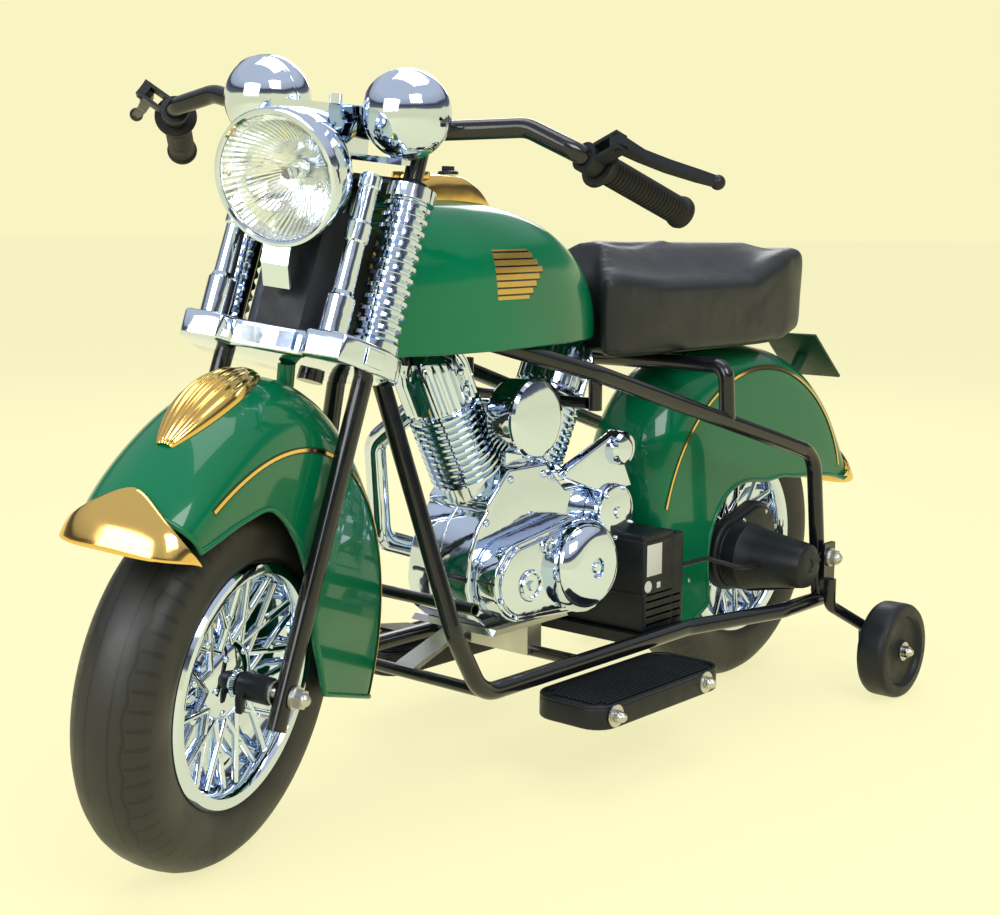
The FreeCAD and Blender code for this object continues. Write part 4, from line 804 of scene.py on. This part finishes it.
def tank_panel():
    """Green tank with a fan of gold bars in a dark field on each side."""
    finish = gloss_panel("tank_panel")
    along, across, up = finish.axes(finish.place((0.520, 0, 0.545)))
    slant = up * 1.35 + along
    bars = ((up * (1 / 0.0072)) + 40.0).maths("FRACT")
    rank = up.maths("DIVIDE", 0.0072).maths("FLOOR")
    inside = (up > -0.0252) * (up < 0.0252)
    length = (rank.maths("ABSOLUTE") * -0.0075) + 0.047
    run = (along * -1.0) < length
    head = (slant * 0.0 + along) < 0.036
    field = inside * run * head * (across.maths("ABSOLUTE") > 0.03)
    stripe = field * (bars > 0.26)
    colour = finish.blend(field, PANEL_LIGHT, (0.012, 0.016, 0.006))
    finish.put("Base Color", finish.blend(stripe, colour, (0.62, 0.40, 0.10)))
    finish.put("Metallic", stripe * 0.75)
    return finish


fit(smoothed(joined("fuel_tank_shell", [tank, tank_bead]), 45), tank_panel(), "frame",
    ["fuel_tank"])


def console_point(u, v):
    """Raised gold console along the tank's top."""
    x = 620 - 162 * u
    across = (v - 0.5) * 2
    heights = [(0, 633), (0.1, 640), (0.35, 646), (0.62, 645), (0.8, 631), (1.0, 602)]
    top = 0
    for (a, za), (b, zb) in zip(heights, heights[1:]):
        if a <= u <= b:
            top = za + (zb - za) * (u - a) / (b - a)
    half = 24 * math.sqrt(max(1 - max(u - 0.55, 0) ** 2 / 0.21, 0.02))
    y = half * math.copysign(abs(across) ** 0.8, across)
    base = tank_at(x)[1] - 8
    z = base + (top - base) * (1 - abs(across) ** 5) ** 0.6
    return Vector((x, y, z))


console = skin("gold_console", 18, 16, console_point)
if console.data.polygons[len(console.data.polygons) // 2].normal.z < 0:
    console.data.flip_normals()
applied(console, "SUBSURF", levels=1, render_levels=1)
applied(console, "SOLIDIFY", thickness=2 * MM, offset=-1)
gauge = lathe("gauge_ring", [(15, 0), (17, 3), (19, 3), (20, 0), (20, -4), (15, -4)], (583, 0, 645), UP, 48)
fit(smoothed(joined("gold_console", [console, gauge]), 60), GOLD, "frame", ["tank_console"])
fit(lathe("gauge_face", [(0, 1.2), (15, 0.6), (15, -2), (0, -2)], (583, 0, 645), UP, 48), PLASTIC)
knob = lathe("switch_knob", [(0, 4), (8, 4), (10.5, 3), (11, 1), (11, 0), (0, 0)], (527, 0, 646.4), UP, 40)
wing = block("switch_wing", (519, -2.4, 649.5), (535, 2.4, 655), 1.2)
fit(joined("switch_knob", [knob, wing]), PLASTIC, "power_switch", ["power_switch"])

# ------------------------------------------------------------------ seat
SEAT_PLAN = [(309, 0), (311, 26), (320, 42), (334, 55), (344, 64), (344, 73), (325, 79), (290, 83), (245, 86),
             (200, 87), (140, 88.5), (60, 89), (-20, 88), (-66, 79), (-96, 58), (-108, 22)]
SEAT_RINGS = [(0.30, 447, 0), (0.72, 446, 0), (0.90, 446, 0), (0.955, 450, 0), (0.965, 462, 0.05),
              (0.972, 480, 0.2), (0.985, 498, 0.6), (0.998, 511, 0.9), (0.998, 519, 1), (0.975, 524, 1),
              (0.93, 527.5, 1), (0.85, 531, 1), (0.72, 536.5, 0.8), (0.56, 545, 0.45), (0.38, 556, 0.2),
              (0.2, 566, 0), (0.07, 570, 0)]


def seat_ring(share, height, follows):
    """One course of the seat, drawn in towards its spine; upper ones follow the raised rear."""
    outline = SEAT_PLAN + [(x, -y) for x, y in reversed(SEAT_PLAN[1:])]
    course = []
    for x, y in outline:
        spine = min(max(x, -40), 270)
        tail = min(max((50 - x) / 90, 0), 1)
        nose = min(max((x - 240) / 90, 0), 1)
        rise = 34 * tail * tail * (3 - 2 * tail)
        heel = 24 * max(-x / 110, 0) ** 1.4 if height < 490 else 0
        lip = 10 * nose if height > 490 else 0
        level = height + heel + follows * rise + lip
        course.append(Vector((spine + (x - spine) * share, y * share, level)))
    return course


def seat():
    """Foam seat: courses bridged and capped, remeshed, puffed as cloth and smoothed once."""
    pad = loft("seat_cushion", [seat_ring(*ring) for ring in SEAT_RINGS], closed=True)
    only(pad)
    bpy.ops.object.mode_set(mode="EDIT")
    bpy.ops.mesh.select_all(action="DESELECT")
    bpy.ops.mesh.select_non_manifold()
    bpy.ops.mesh.fill_holes(sides=0)
    bpy.ops.mesh.select_all(action="SELECT")
    bpy.ops.mesh.normals_make_consistent(inside=False)
    free()
    applied(pad, "REMESH", mode="VOXEL", voxel_size=5 * MM)
    applied(pad, "SMOOTH", factor=0.5, iterations=12)
    puff(pad, cap=1.0)
    applied(pad, "SUBSURF", levels=1, render_levels=1)
    return smoothed(pad, 80)


def puff(pad, cap):
    """Blows the pad up as cloth, and keeps each point within a cap, in millimetres, of its start."""
    start = [vertex.co.copy() for vertex in pad.data.vertices]
    only(pad)
    cloth = pad.modifiers.new("skin", "CLOTH")
    cloth.settings.use_pressure = True
    cloth.settings.uniform_pressure_force = 4
    cloth.settings.effector_weights.gravity = 0
    scene = bpy.context.scene
    for step in range(1, 21):
        scene.frame_set(step)
    bpy.ops.object.modifier_apply(modifier=cloth.name)
    scene.frame_set(1)
    for vertex, before in zip(pad.data.vertices, start):
        move = vertex.co - before
        if move.length > cap * MM:
            vertex.co = before + move.normalized() * cap * MM


def seat_finish():
    """Soft black skin with fine grain and a few long creases near the edges."""
    finish = Finish("seat_cover", (0.016, 0.018, 0.022), 0.42, Specular_IOR_Level=0.35)
    here = finish.place()
    along, across, up = finish.axes(here)
    grain = finish.node("ShaderNodeTexVoronoi", {}, {"Vector": here, "Scale": 620.0})
    slow = finish.noise(9, 2)
    crease = finish.node("ShaderNodeTexWave", {"wave_type": "BANDS", "bands_direction": "Z"},
                         {"Vector": here, "Scale": 5.0, "Distortion": 6.0, "Detail": 2.0})
    low = up < 0.53
    finish.mottled((0.018, 0.020, 0.025), (0.010, 0.012, 0.016), 10)
    finish.worn(0.34, 0.48, 24)
    height = grain * 0.06 + slow * 0.8 + crease * low * 0.25
    return finish.bump(height, 0.0022, 0.5)


pan_plan = [Vector((x * 0.8 + 20, y * 0.66, 443)) for x, y in SEAT_PLAN[4:]]
pan = slab("seat_pan", pan_plan + [Vector((p.x, -p.y, p.z)) for p in reversed(pan_plan)], UP * 8, 2)
fit(pan, PLASTIC, "frame", ["seat_base"])
cushion = fit(seat(), seat_finish(), "frame", ["seat_pad"])

# ------------------------------------------------------------------ lamps
LAMP = Vector((820.7, 0, 638.6))
LAMP_FACING = Vector((0.98, 0, -0.199)).normalized()
SPOT_X, SPOT_Y, SPOT_Z = 716.5, 74.6, 706.9
LAMP_SHELL = [(0, -78), (20, -75.5), (37, -67.5), (51, -54), (58.5, -38), (61, -22), (61.6, -12),
              (63, -10.5), (63, -1), (62, 1.4), (59, 2), (57, 0.5), (56.8, -4), (58, -10), (57.6, -22),
              (55, -37), (48, -51), (35, -63.5), (18, -71.5), (0, -74)]
REFLECTOR = [(7, -50), (20, -46.5), (32, -38), (43, -26), (51, -13), (55.5, -4), (56.8, -3.2), (56.8, -4.6),
             (54, -6.6), (49.5, -14.6), (41.5, -27.6), (30.8, -39.6), (19, -48.2), (7, -51.6)]
LENS_SIDE = [(0, 5.6), (18, 5), (36, 3.4), (50, 0.9), (56.4, -0.8), (56.4, -3), (50, -1.4), (36, 1.2),
             (18, 2.8), (0, 3.4)]


def reflector_finish():
    """Silvered bowl cut in narrow radial facets with rings across them; its bluish colour is painted
    reflection, and the colour running from light to dark across each facet is painted light and shade.
    """
    finish = Finish("reflector_cut", (0.88, 0.93, 1.0), 0.08, Metallic=1.0)
    turned = STEER.to_3x3() @ LAMP_FACING.to_track_quat("Z", "Y").to_matrix()
    x, y, z = finish.axes(finish.place(STEER @ (LAMP * MM), turned.to_4x4()))
    angle = finish.node("ShaderNodeMath", {"operation": "ARCTAN2"}, [y, x])
    radius = finish.node("ShaderNodeMath", {"operation": "SQRT"}, [x * x + y * y])
    facets = (angle * (60 / (2 * math.pi))).maths("PINGPONG", 0.5)
    rings = (radius * 90).maths("PINGPONG", 0.5)
    # Painted light and shade: each facet's colour runs from light to dark, and the bluish silver is a painted
    # reflection.
    finish.put("Base Color", finish.blend(facets, (0.92, 0.96, 1.0), (0.78, 0.83, 0.90)))
    finish.put("Roughness", finish.span(rings, 0, 0.5, 0.06, 0.16))
    return finish.bump(facets + rings * 0.3, 0.0012, 0.6)


on_fork(lathe("headlamp_bowl_shell", LAMP_SHELL, LAMP, LAMP_FACING, 80, 30), BRIGHT,
        ["headlamp_shell"])
on_fork(lathe("headlamp_cut_reflector", REFLECTOR, LAMP, LAMP_FACING, 96, 40), reflector_finish(),
        ["headlamp_reflector"])
on_fork(lathe("headlamp_clear_lens", LENS_SIDE, LAMP, LAMP_FACING, 80, 40), LENS,
        ["headlamp_lens"])
on_fork(lathe("headlamp_bulb", [(0, -18), (3, -18.6), (5, -21), (6, -27), (6, -33), (4, -38), (4, -50),
                                (0, -50)],
              LAMP, LAMP_FACING, 32), BULB)
on_fork(lathe("bulb_collar", [(3.6, -37), (8, -38), (9, -41), (9, -49), (3.6, -49)], LAMP, LAMP_FACING, 32),
        BRIGHT)


on_fork(joined("lens_screws", [screw("lens_screw", LAMP + ACROSS * (47 * side) + LAMP_FACING * 1.2,
                                     LAMP_FACING, 2.6, 1.6)
                               for side in (-1, 1)]), STEEL)
SPOT_BALL = [(42 * math.sin(math.radians(a)), 42 * math.cos(math.radians(a))) for a in range(0, 73, 8)]
SPOT_BALL += [(41.4, 9.6), (41.8, 8.8), (41.8, 6.6), (41.0, 5.8), (41.6, 4.8)]
SPOT_BALL += [(42 * math.sin(math.radians(a)), 42 * math.cos(math.radians(a))) for a in range(90, 181, 9)]
spot = lathe("spot_lamp", SPOT_BALL, (SPOT_X, SPOT_Y, SPOT_Z), LAMP_FACING + ACROSS * 0.12, 80, 30)
on_fork(both(spot, "spot_lamp_pair", "spot_lamp_right"), BRIGHT, ["spot_lamps"])

YOKE_HALF = [(98, 38), (112, 45), (112, 84), (98, 93), (58, 106), (24, 104), (14, 92), (-20, 24)]


def fork_slab(name, half, low, high, bevel, segments=3):
    """Slab across the fork between two heights, from the left half of its plan."""
    outline = [fork_at(n, y, low) for n, y in half] + [fork_at(n, -y, low) for n, y in reversed(half)]
    return slab(name, outline, AXIS * (high - low), bevel, segments)


yoke = fork_slab("lower_yoke_casting", YOKE_HALF, 301, 327, 3.5, 4)
yoke_step = fork_slab("yoke_step", [(101, 30), (101, 4)], 304, 324, 2.5)
cheeks = [slab("yoke_cheek", [fork_at(n, side * y, s) for n, y, s in
                              ((88, 97.5, 306), (66, 104.2, 306), (66, 104.2, 322), (88, 97.5, 322))],
               Vector((0.3, side * 1.6, 0)), 0.8) for side in (-1, 1)]
on_fork(joined("lower_yoke_casting", [yoke, yoke_step, *cheeks]), BRIGHT, ["lower_yoke"])

# ------------------------------------------------------------------ handlebar grips
GRIP_FOOT = Vector((652, 223, 688))
GRIP_LINE = (Vector((524, 294, 638)) - GRIP_FOOT).normalized()


def grip_side():
    """Grip outline: flange, ribbed middle and end bead."""
    side = [(9.6, 0), (20.5, 0), (22, 1.4), (22, 3.8), (20.5, 5), (15.5, 6.4), (14.6, 9)]
    for i in range(22):
        along = 12 + i * 4.7
        side += [(14.2, along), (14.2, along + 2.9), (13.3, along + 3.4), (13.3, along + 4.3)]
    return side + [(14.4, 118), (16, 119.5), (16.6, 123), (15.6, 126.6), (12, 128), (0, 128), (0, 120),
                   (9.6, 120)]


grip = lathe("grip_cover", grip_side(), GRIP_FOOT + GRIP_LINE * 28, GRIP_LINE, 40, 30)
on_fork(both(grip, "grip_covers", "grip_cover_right"), RUBBER, ["grips"])

# ------------------------------------------------------------------ engine
LEAN = math.radians(27)
CYLINDERS = {"front": (Vector((488, 0, 312)), Vector((math.sin(LEAN), 0, math.cos(LEAN)))),
             "rear": (Vector((405, 0, 312)), Vector((-math.sin(LEAN), 0, math.cos(LEAN))))}
FINS = 11
BARREL_HIGH = 106


def barrel_side():
    """Finned barrel's outline, with its foot and neck."""
    side = [(0, -4), (31, -4), (31, 16), (34, 18)]
    for i in range(FINS):
        along = 20 + i * 8
        side += [(34.5, along), (40.6, along + 0.8), (40.6, along + 3.4), (34.5, along + 4.2)]
    return side + [(34.5, BARREL_HIGH), (36.5, BARREL_HIGH + 2), (36.5, 150), (35, 162), (30, 170), (18, 174),
                   (0, 175)]


HEAD_RINGS = [(107, 36), (110, 40.6), (148, 40.6), (157, 38.6), (165, 33.5), (171, 25), (175, 13), (176, 4)]
HEAD_RIBS = 26


def cylinder(name, foot, up):
    """Finned barrel, and a domed head with upright ribs all round."""
    barrel = lathe(name, barrel_side(), foot, up, 64, 28)
    aside = up.cross(ACROSS).normalized()
    courses = []
    for along, radius in HEAD_RINGS:
        course = []
        for i in range(HEAD_RIBS * 4):
            angle = 2 * math.pi * i / (HEAD_RIBS * 4)
            reach = radius * (1 if i % 4 < 2 else 0.88)
            course.append(foot + up * along + aside * (reach * math.cos(angle))
                          + ACROSS * (reach * math.sin(angle)))
        courses.append(course)
    head = loft(name + "_head", courses, closed=True)
    only(head)
    bpy.ops.object.mode_set(mode="EDIT")
    bpy.ops.mesh.select_all(action="DESELECT")
    bpy.ops.mesh.select_non_manifold()
    bpy.ops.mesh.fill_holes(sides=0)
    bpy.ops.mesh.select_all(action="SELECT")
    bpy.ops.mesh.normals_make_consistent(inside=False)
    smoothed(head, 30)
    bolts = [screw(name + "_bolt", foot + up * along + ACROSS * (40 * side) + aside * 3, ACROSS * side, 4.4,
                   3.4)
             for along in (126, 146) for side in (-1, 1)]
    return joined(name, [barrel, head, *bolts])


for end, (foot, up) in CYLINDERS.items():
    fit(cylinder(f"{end}_cylinder_finned", foot, up), BRIGHT, "frame", [f"{end}_cylinder"])

CASE_SIDE = [(386, 174), (398, 165), (516, 165), (538, 182), (546, 212), (541, 246), (528, 276), (512, 292),
             (512, 300), (478, 334), (414, 334), (380, 300), (296, 300), (282, 288), (282, 244), (386, 244)]


def side_slab(name, outline, low, high, bevel=3.0, segments=3):
    """Slab drawn in the side view between two widths."""
    return slab(name, [Vector((x, low, z)) for x, z in outline], ACROSS * (high - low), bevel, segments)


def grown(outline, centre, share):
    return [(centre[0] + (x - centre[0]) * share, centre[1] + (z - centre[1]) * share) for x, z in outline]


case = side_slab("engine_case", CASE_SIDE, -44.5, 44.5, 7, 4)
seam = side_slab("case_seam", grown(CASE_SIDE, (452, 246), 1.012), -4, 2, 1.5)
intake = side_slab("intake", [(426, 330), (466, 330), (458, 404), (434, 404)], -30, 30, 5)
case_bolts = [screw("case_bolt", (x, side * 44.5, z), ACROSS * side, 4.4, 3.6)
              for x, z in ((528, 196), (532, 240), (516, 280), (476, 322), (420, 322), (300, 286), (300, 258))
              for side in (-1, 1)]
fit(joined("engine_case", [case, seam, intake, *case_bolts]), BRIGHT, "frame",
    ["crankcase"])


def ring_points(centre, radius, first, last, count):
    """Arc points in the side view, angles in degrees."""
    return [(centre[0] + radius * math.cos(math.radians(first + (last - first) * i / count)),
             centre[1] + radius * math.sin(math.radians(first + (last - first) * i / count)))
            for i in range(count + 1)]


def belt(front, rear, front_r, rear_r):
    """Outline of two discs and the band that joins them."""
    return ring_points(front, front_r, -84, 84, 14) + ring_points(rear, rear_r, 84, 276, 18)


PRIMARY_FRONT, PRIMARY_REAR = (492, 217), (399, 221)
primary = side_slab("primary_cover_shell", belt(PRIMARY_FRONT, PRIMARY_REAR, 44, 54), 45, 76, 4, 4)
primary_face = side_slab("primary_cover_face", belt(PRIMARY_FRONT, PRIMARY_REAR, 38, 47), 75, 80, 2.5, 3)
boss_side = [(0, 5), (5, 5), (5.6, 1.8), (12.2, 1.8), (13.6, 4.6), (16, 4.6), (17.5, 2), (17.5, -2), (0, -2)]
boss = lathe("primary_boss", boss_side, (484, 80, 212), ACROSS, 48)
small_boss = lathe("primary_small_boss", [(r * 0.55, a) for r, a in boss_side], (456, 80, 251), ACROSS, 40)
primary_bolts = [screw("primary_bolt", (x, 79, z), ACROSS, 3.2, 3) for x, z in
                 ring_points(PRIMARY_FRONT, 40.5, -70, 70, 3) + ring_points(PRIMARY_REAR, 50, 110, 250, 3)]
fit(joined("primary_cover_bright", [primary, primary_face, boss, small_boss, *primary_bolts]), BRIGHT,
    "frame",
    ["primary_cover"])
CLUTCH = [(0, 27), (5, 27), (6.2, 25.4), (6.2, 23.2), (10.5, 22.6), (11.5, 26.4), (31, 27), (37, 25.6),
          (44, 21.6), (49.6, 14.6), (51.8, 8), (52, 0), (50.5, -1), (0, -1)]
clutch = lathe("clutch_cover_bright", CLUTCH, (399, 80, 221), ACROSS, 80, 24)
clutch_screws = [screw("clutch_screw", (399 + 50.5 * math.cos(a), 84, 221 + 50.5 * math.sin(a)),
                       Vector((math.cos(a), 0, math.sin(a))), 3.2, 3.6)
                 for a in (math.radians(d) for d in (20, 92, 164, 236, 308))]
fit(joined("clutch_cover_bright", [clutch, *clutch_screws]), BRIGHT, "frame",
    ["clutch_cover"])
AIR = [(0, 91), (20, 90.4), (33, 88.6), (40, 86), (42.6, 83), (43, 80.5), (42, 78.6), (40.6, 78), (40.6, 48),
       (39, 45), (0, 45)]
fit(lathe("air_cleaner_bright", AIR, (478, 0, 392), ACROSS, 80, 24), BRIGHT, "frame",
    ["air_cleaner"])
CAM = (313, 267)
cam_disc = lathe("cam_disc", [(0, 71), (6, 71), (7, 68.4), (28, 68), (31.5, 66.6), (33, 63), (33, 45),
                              (0, 45)],
                 (CAM[0], 0, CAM[1]), ACROSS, 72, 24)
cam_plate = side_slab("cam_plate", [(274, 292), (290, 322), (292, 352), (303, 361), (316, 355), (396, 326),
                                    (398, 316), (330, 290)], 46, 60, 2.5)
cam_boss = lathe("cam_boss", [(0, 74), (9, 73.6), (16.5, 70.5), (19.4, 66), (20, 60), (20, 46), (0, 46)],
                 (301, 0, 340), ACROSS, 56, 26)
cam_screws = [screw("cam_screw", (CAM[0] + 29.5 * math.cos(a), 67, CAM[1] + 29.5 * math.sin(a)), ACROSS, 3, 4)
              for a in (math.radians(d) for d in (-150, -85, -20, 45, 110))]
fit(joined("cam_cover_bright", [cam_disc, cam_plate, cam_boss, *cam_screws]), BRIGHT, "frame",
    ["cam_cover"])

# ------------------------------------------------------------------ battery
BOX_LOW, BOX_HIGH = Vector((220, -98, 125)), Vector((301, 98, 241))


def battery():
    """Ribbed battery housing with a stepped lid, hollowed round the fender behind it."""
    body = block("battery_body", BOX_LOW + Vector((21, 0, 0)), BOX_HIGH - Vector((1.5, 0, 6)), 4)
    parts = [body, block("battery_lid", (241, -97, 232), (300, 97, 241), 2.5),
             block("battery_belt", (241, -98, 168), (301, 98, 172), 1)]
    for side in (-1, 1):
        cheek = (side * 66, side * 98)
        parts.append(block("battery_cheek", (220, min(cheek), 126), (246, max(cheek), 236), 3))
        for i in range(4):
            low = 133 + i * 9
            near, far = sorted((side * 96, side * 98))
            parts.append(block("battery_rib", (226, near, low), (298, far, low + 4), 0.8))
    parts.append(block("battery_handle", (256, -30, 240), (286, 30, 246), 2))
    return joined("battery_housing", parts)


fit(battery(), PLASTIC, "frame", ["battery_case"])
fit(block("battery_label", (266, 97.6, 192), (295, 98.5, 229), 0.4), LABEL, "frame")
fit(lathe("battery_sticker", [(0, 0.7), (6.5, 0.6), (7, 0), (0, 0)], (292, 98, 180), ACROSS, 32), LABEL,
    "frame")
fit(block("battery_mark", (268, 97.7, 176), (275, 98.5, 183), 0.4), LABEL, "frame")

# ------------------------------------------------------------------ drive covers
MOTOR = Vector((50, 66, 176))
cone = lathe("motor_cone", [(0, 0), (43, 0), (43, 19), (41.6, 21), (37.5, 40), (33, 66), (28.4, 97),
                            (26.5, 102), (23, 104), (9, 104), (8, 102.5), (0, 102.5)], MOTOR, ACROSS, 72, 30)
slots = []
for i in range(7):
    angle = math.radians(200 + i * 14)
    out = Vector((math.cos(angle), 0, math.sin(angle)))
    slots.append(bar("motor_vent_rib", MOTOR + out * 42.2 + ACROSS * 21, MOTOR + out * 31 + ACROSS * 82, 1.5,
                     8))
fit(joined("motor_cone_cover", [cone, *slots]), PLASTIC, "frame", ["motor_cover"])

gear_housing = side_slab("gear_housing", belt((52, 177), (2, 193), 47, 46), 43, 62, 5, 4)
gear_lid = side_slab("gear_lid", belt((52, 177), (2, 193), 41, 40), 60, 66, 2.5)
GEAR_SCREWS = [(-14, 224), (38, 219), (-30, 180), (4, 160)]
gear_screws = [screw("gear_screw", (x, 65, z), ACROSS, 3.4, 2) for x, z in GEAR_SCREWS]
fit(joined("gear_housing", [gear_housing, gear_lid]), PLASTIC, "frame", ["gearbox_case"])
fit(joined("gear_screws", gear_screws), STEEL, "frame")

# ------------------------------------------------------------------ stabiliser wheels
SIDE_WHEEL = [(7, 15), (12, 15.4), (14, 13.6), (17, 12), (38, 12), (42, 13.6), (44.2, 17.6), (46.5, 19),
              (53.5, 19), (57.6, 17.8), (59.8, 14.6), (60.3, 10), (60.3, 2)]
side_wheel = lathe("side_wheel", [(r, -a) for r, a in SIDE_WHEEL] + SIDE_WHEEL[::-1], (0, 0, 0), ACROSS, 80,
                   30)
for side, name in ((1, "left"), (-1, "right")):
    place = Matrix.Translation(Vector((-57, 230 * side, 60.3)) * MM)
    fit(copied(side_wheel, f"{name}_side_wheel", place), PLASTIC, f"{name}_stabiliser_wheel",
        [f"{name}_stabiliser_wheel"])
bpy.data.objects.remove(side_wheel)


def acorn(name, centre, axis, washer=12.0, flats=13.0):
    """Washer, six-sided nut and its dome."""
    axis, centre = Vector(axis).normalized(), Vector(centre)
    aside = axis.orthogonal().normalized()
    beside = axis.cross(aside)
    ring = lathe(name + "_washer", [(0, 0), (washer, 0), (washer, 1.6), (0, 1.6)], centre, axis, 40)
    corner = flats / math.sqrt(3)
    six = [centre + axis * 1.6 + (aside * math.cos(a) + beside * math.sin(a)) * corner
           for a in (math.pi * i / 3 for i in range(6))]
    nut = slab(name + "_nut", six, axis * 6.5, 0.8, 2)
    dome = lathe(name + "_dome", [(0, 13.5), (3.2, 12.8), (5, 10.8), (5.7, 8), (5.7, 6), (0, 6)], centre,
                 axis, 32)
    return joined(name, [ring, nut, dome])


nuts = [acorn("side_wheel_nut", (-57, 230 * side + 16.5 * side, 60.3), ACROSS * side) for side in (-1, 1)]
fit(joined("side_wheel_nuts", nuts), STEEL, "frame")

# ------------------------------------------------------------------ footboards
BOARD_LOW, BOARD_HIGH = Vector((280, 102, 78)), Vector((510, 198, 105))
BOARD_CORNER = 26


def rounded_board(name, low, high, corner, bevel):
    """Flat board with round corners."""
    outline = []
    for cx, cy, first in ((high.x - corner, high.y - corner, 0), (low.x + corner, high.y - corner, 90),
                          (low.x + corner, low.y + corner, 180), (high.x - corner, low.y + corner, 270)):
        for i in range(7):
            angle = math.radians(first + 15 * i)
            outline.append(Vector((cx + corner * math.cos(angle), cy + corner * math.sin(angle), low.z)))
    return slab(name, outline, UP * (high.z - low.z), bevel, 3)


def footboard():
    """Board with fine ribs along its top and a lip all round."""
    parts = [rounded_board("board_body", BOARD_LOW, BOARD_HIGH - UP * 3, BOARD_CORNER, 3)]
    edge = []
    for cx, cy, first in ((484, 172, 0), (306, 172, 90), (306, 128, 180), (484, 128, 270)):
        for i in range(7):
            angle = math.radians(first + 15 * i)
            edge.append(Vector((cx + 23.6 * math.cos(angle), cy + 23.6 * math.sin(angle), 102.4)))
    parts.append(pipe("board_lip", edge, 2.4, closed=True))
    for i in range(15):
        y = 112 + i * 5.4
        inset = 12 if 1 < i < 13 else 22
        parts.append(block("board_rib", (280 + inset, y - 1.3, 100), (510 - inset, y + 1.3, 104.6), 0.7))
    return joined("board", parts)


left_board = footboard()
right_board = copied(left_board, "right_footboard_ribbed", MIRROR)
left_board.name = "left_footboard_ribbed"
fit(left_board, PLASTIC, "frame", ["left_footboard"])
fit(right_board, PLASTIC, "frame", ["right_footboard"])
board_nuts = []
for x in (485, 319):
    for side in (-1, 1):
        board_nuts.append(acorn("board_nut", (x, 197.5 * side, 92), ACROSS * side, 12, 12))
fit(joined("board_nuts", board_nuts), STEEL, "frame")
fender_screw = both(screw("fender_screw", (155, 61, 160), ACROSS, 3.5, 1.6), "fender_screws",
                    "fender_screw_right")
fit(fender_screw, STEEL, "frame")

# ------------------------------------------------------------------ finishes of the carried-over nodes
CAD_FINISHES = [
    (TUBE, "lower_rails upper_rails head_tube cross_tubes seat_posts stabiliser_arms handlebar fork_legs "
           "steering_stem"),
    (BRIGHT, "spring_covers fork_rods lamp_bracket exhaust_pipes"),
    (PLASTIC, "column_cover lever_perches left_brake_lever right_brake_lever battery_tray "
              "drive_motor accelerator_pedal motor_lead"),
    (STEEL, "rear_axle front_axle engine_mount motor_pinion"),
    (NYLON, "output_gear idler_gear"),
]
for finish, names in CAD_FINISHES:
    for name in names.split():
        for slot in frame["nodes"][name].material_slots:
            slot.material = finish.material

# ------------------------------------------------------------------ floor, light and camera
CREAM = (0.950, 0.905, 0.545)
free()
bpy.ops.mesh.primitive_circle_add(vertices=96, radius=40, fill_type="NGON")
floor = bpy.context.object
floor.name = "studio_floor"
SHADE = tuple(0.20 * c for c in CREAM)
paper = Finish("studio_paper", SHADE, 0.95, Specular_IOR_Level=0.0, Emission_Color=CREAM,
               Emission_Strength=0.86)
paper.mottled(SHADE, tuple(0.985 * c for c in SHADE), 0.5, 1)
floor.data.materials.append(paper.material)

world = bpy.data.worlds.new("studio")
bpy.context.scene.world = world
world.use_nodes = True
backdrop = world.node_tree.nodes["Background"]
ramp = world.node_tree.nodes.new("ShaderNodeValToRGB")
height = world.node_tree.nodes.new("ShaderNodeSeparateXYZ")
around = world.node_tree.nodes.new("ShaderNodeTexCoord")
world.node_tree.links.new(around.outputs["Generated"], height.inputs[0])
world.node_tree.links.new(height.outputs["Z"], ramp.inputs[0])
world.node_tree.links.new(ramp.outputs[0], backdrop.inputs[0])
stops = ramp.color_ramp.elements
stops[0].position, stops[0].color = 0.16, (*CREAM, 1)
stops[1].position, stops[1].color = 0.62, (0.62, 0.65, 0.70, 1)
for position, colour in ((0.20, (0.16, 0.17, 0.19)), (0.34, (0.06, 0.065, 0.075)),
                         (0.40, (0.45, 0.47, 0.50))):
    stop = stops.new(position)
    stop.color = (*colour, 1)
backdrop.inputs["Strength"].default_value = 1.0


def softbox(name, place, aim, wide, high, power, tint=(1, 1, 1)):
    """Soft studio panel aimed at a point."""
    data = bpy.data.lights.new(name, "AREA")
    data.shape = "RECTANGLE"
    data.size, data.size_y = wide, high
    data.energy = power
    data.color = tint
    lamp = bpy.data.objects.new(name, data)
    bpy.context.collection.objects.link(lamp)
    lamp.location = place
    lamp.rotation_euler = (Vector(aim) - Vector(place)).to_track_quat("-Z", "Y").to_euler()
    return lamp


MIDDLE = (0.42, 0, 0.35)
softbox("key_panel", (1.6, 2.6, 2.6), MIDDLE, 1.6, 1.2, 55)
softbox("front_panel", (3.6, 0.2, 1.7), MIDDLE, 2.2, 1.6, 60)
softbox("top_panel", (0.2, 0.0, 3.2), MIDDLE, 2.4, 1.4, 30)
softbox("back_panel", (-2.4, -2.2, 2.2), MIDDLE, 1.6, 1.6, 30)

CAMERA_PLACE = Vector((1.7979, 1.1729, 0.6039))
CAMERA_FORWARD = Vector((-0.74817, -0.64708, -0.14672))
CAMERA_ROLL = 0.005
view = bpy.data.cameras.new("studio_camera")
view.lens = 58.67
view.sensor_width = 36
camera = bpy.data.objects.new("studio_camera", view)
bpy.context.collection.objects.link(camera)
camera.location = CAMERA_PLACE
turned = CAMERA_FORWARD.to_track_quat("-Z", "Y").to_matrix().to_4x4()
camera.rotation_euler = (turned @ Matrix.Rotation(CAMERA_ROLL, 4, "Z")).to_euler()
bpy.context.scene.camera = camera
bpy.context.scene.view_settings.view_transform = "Standard"
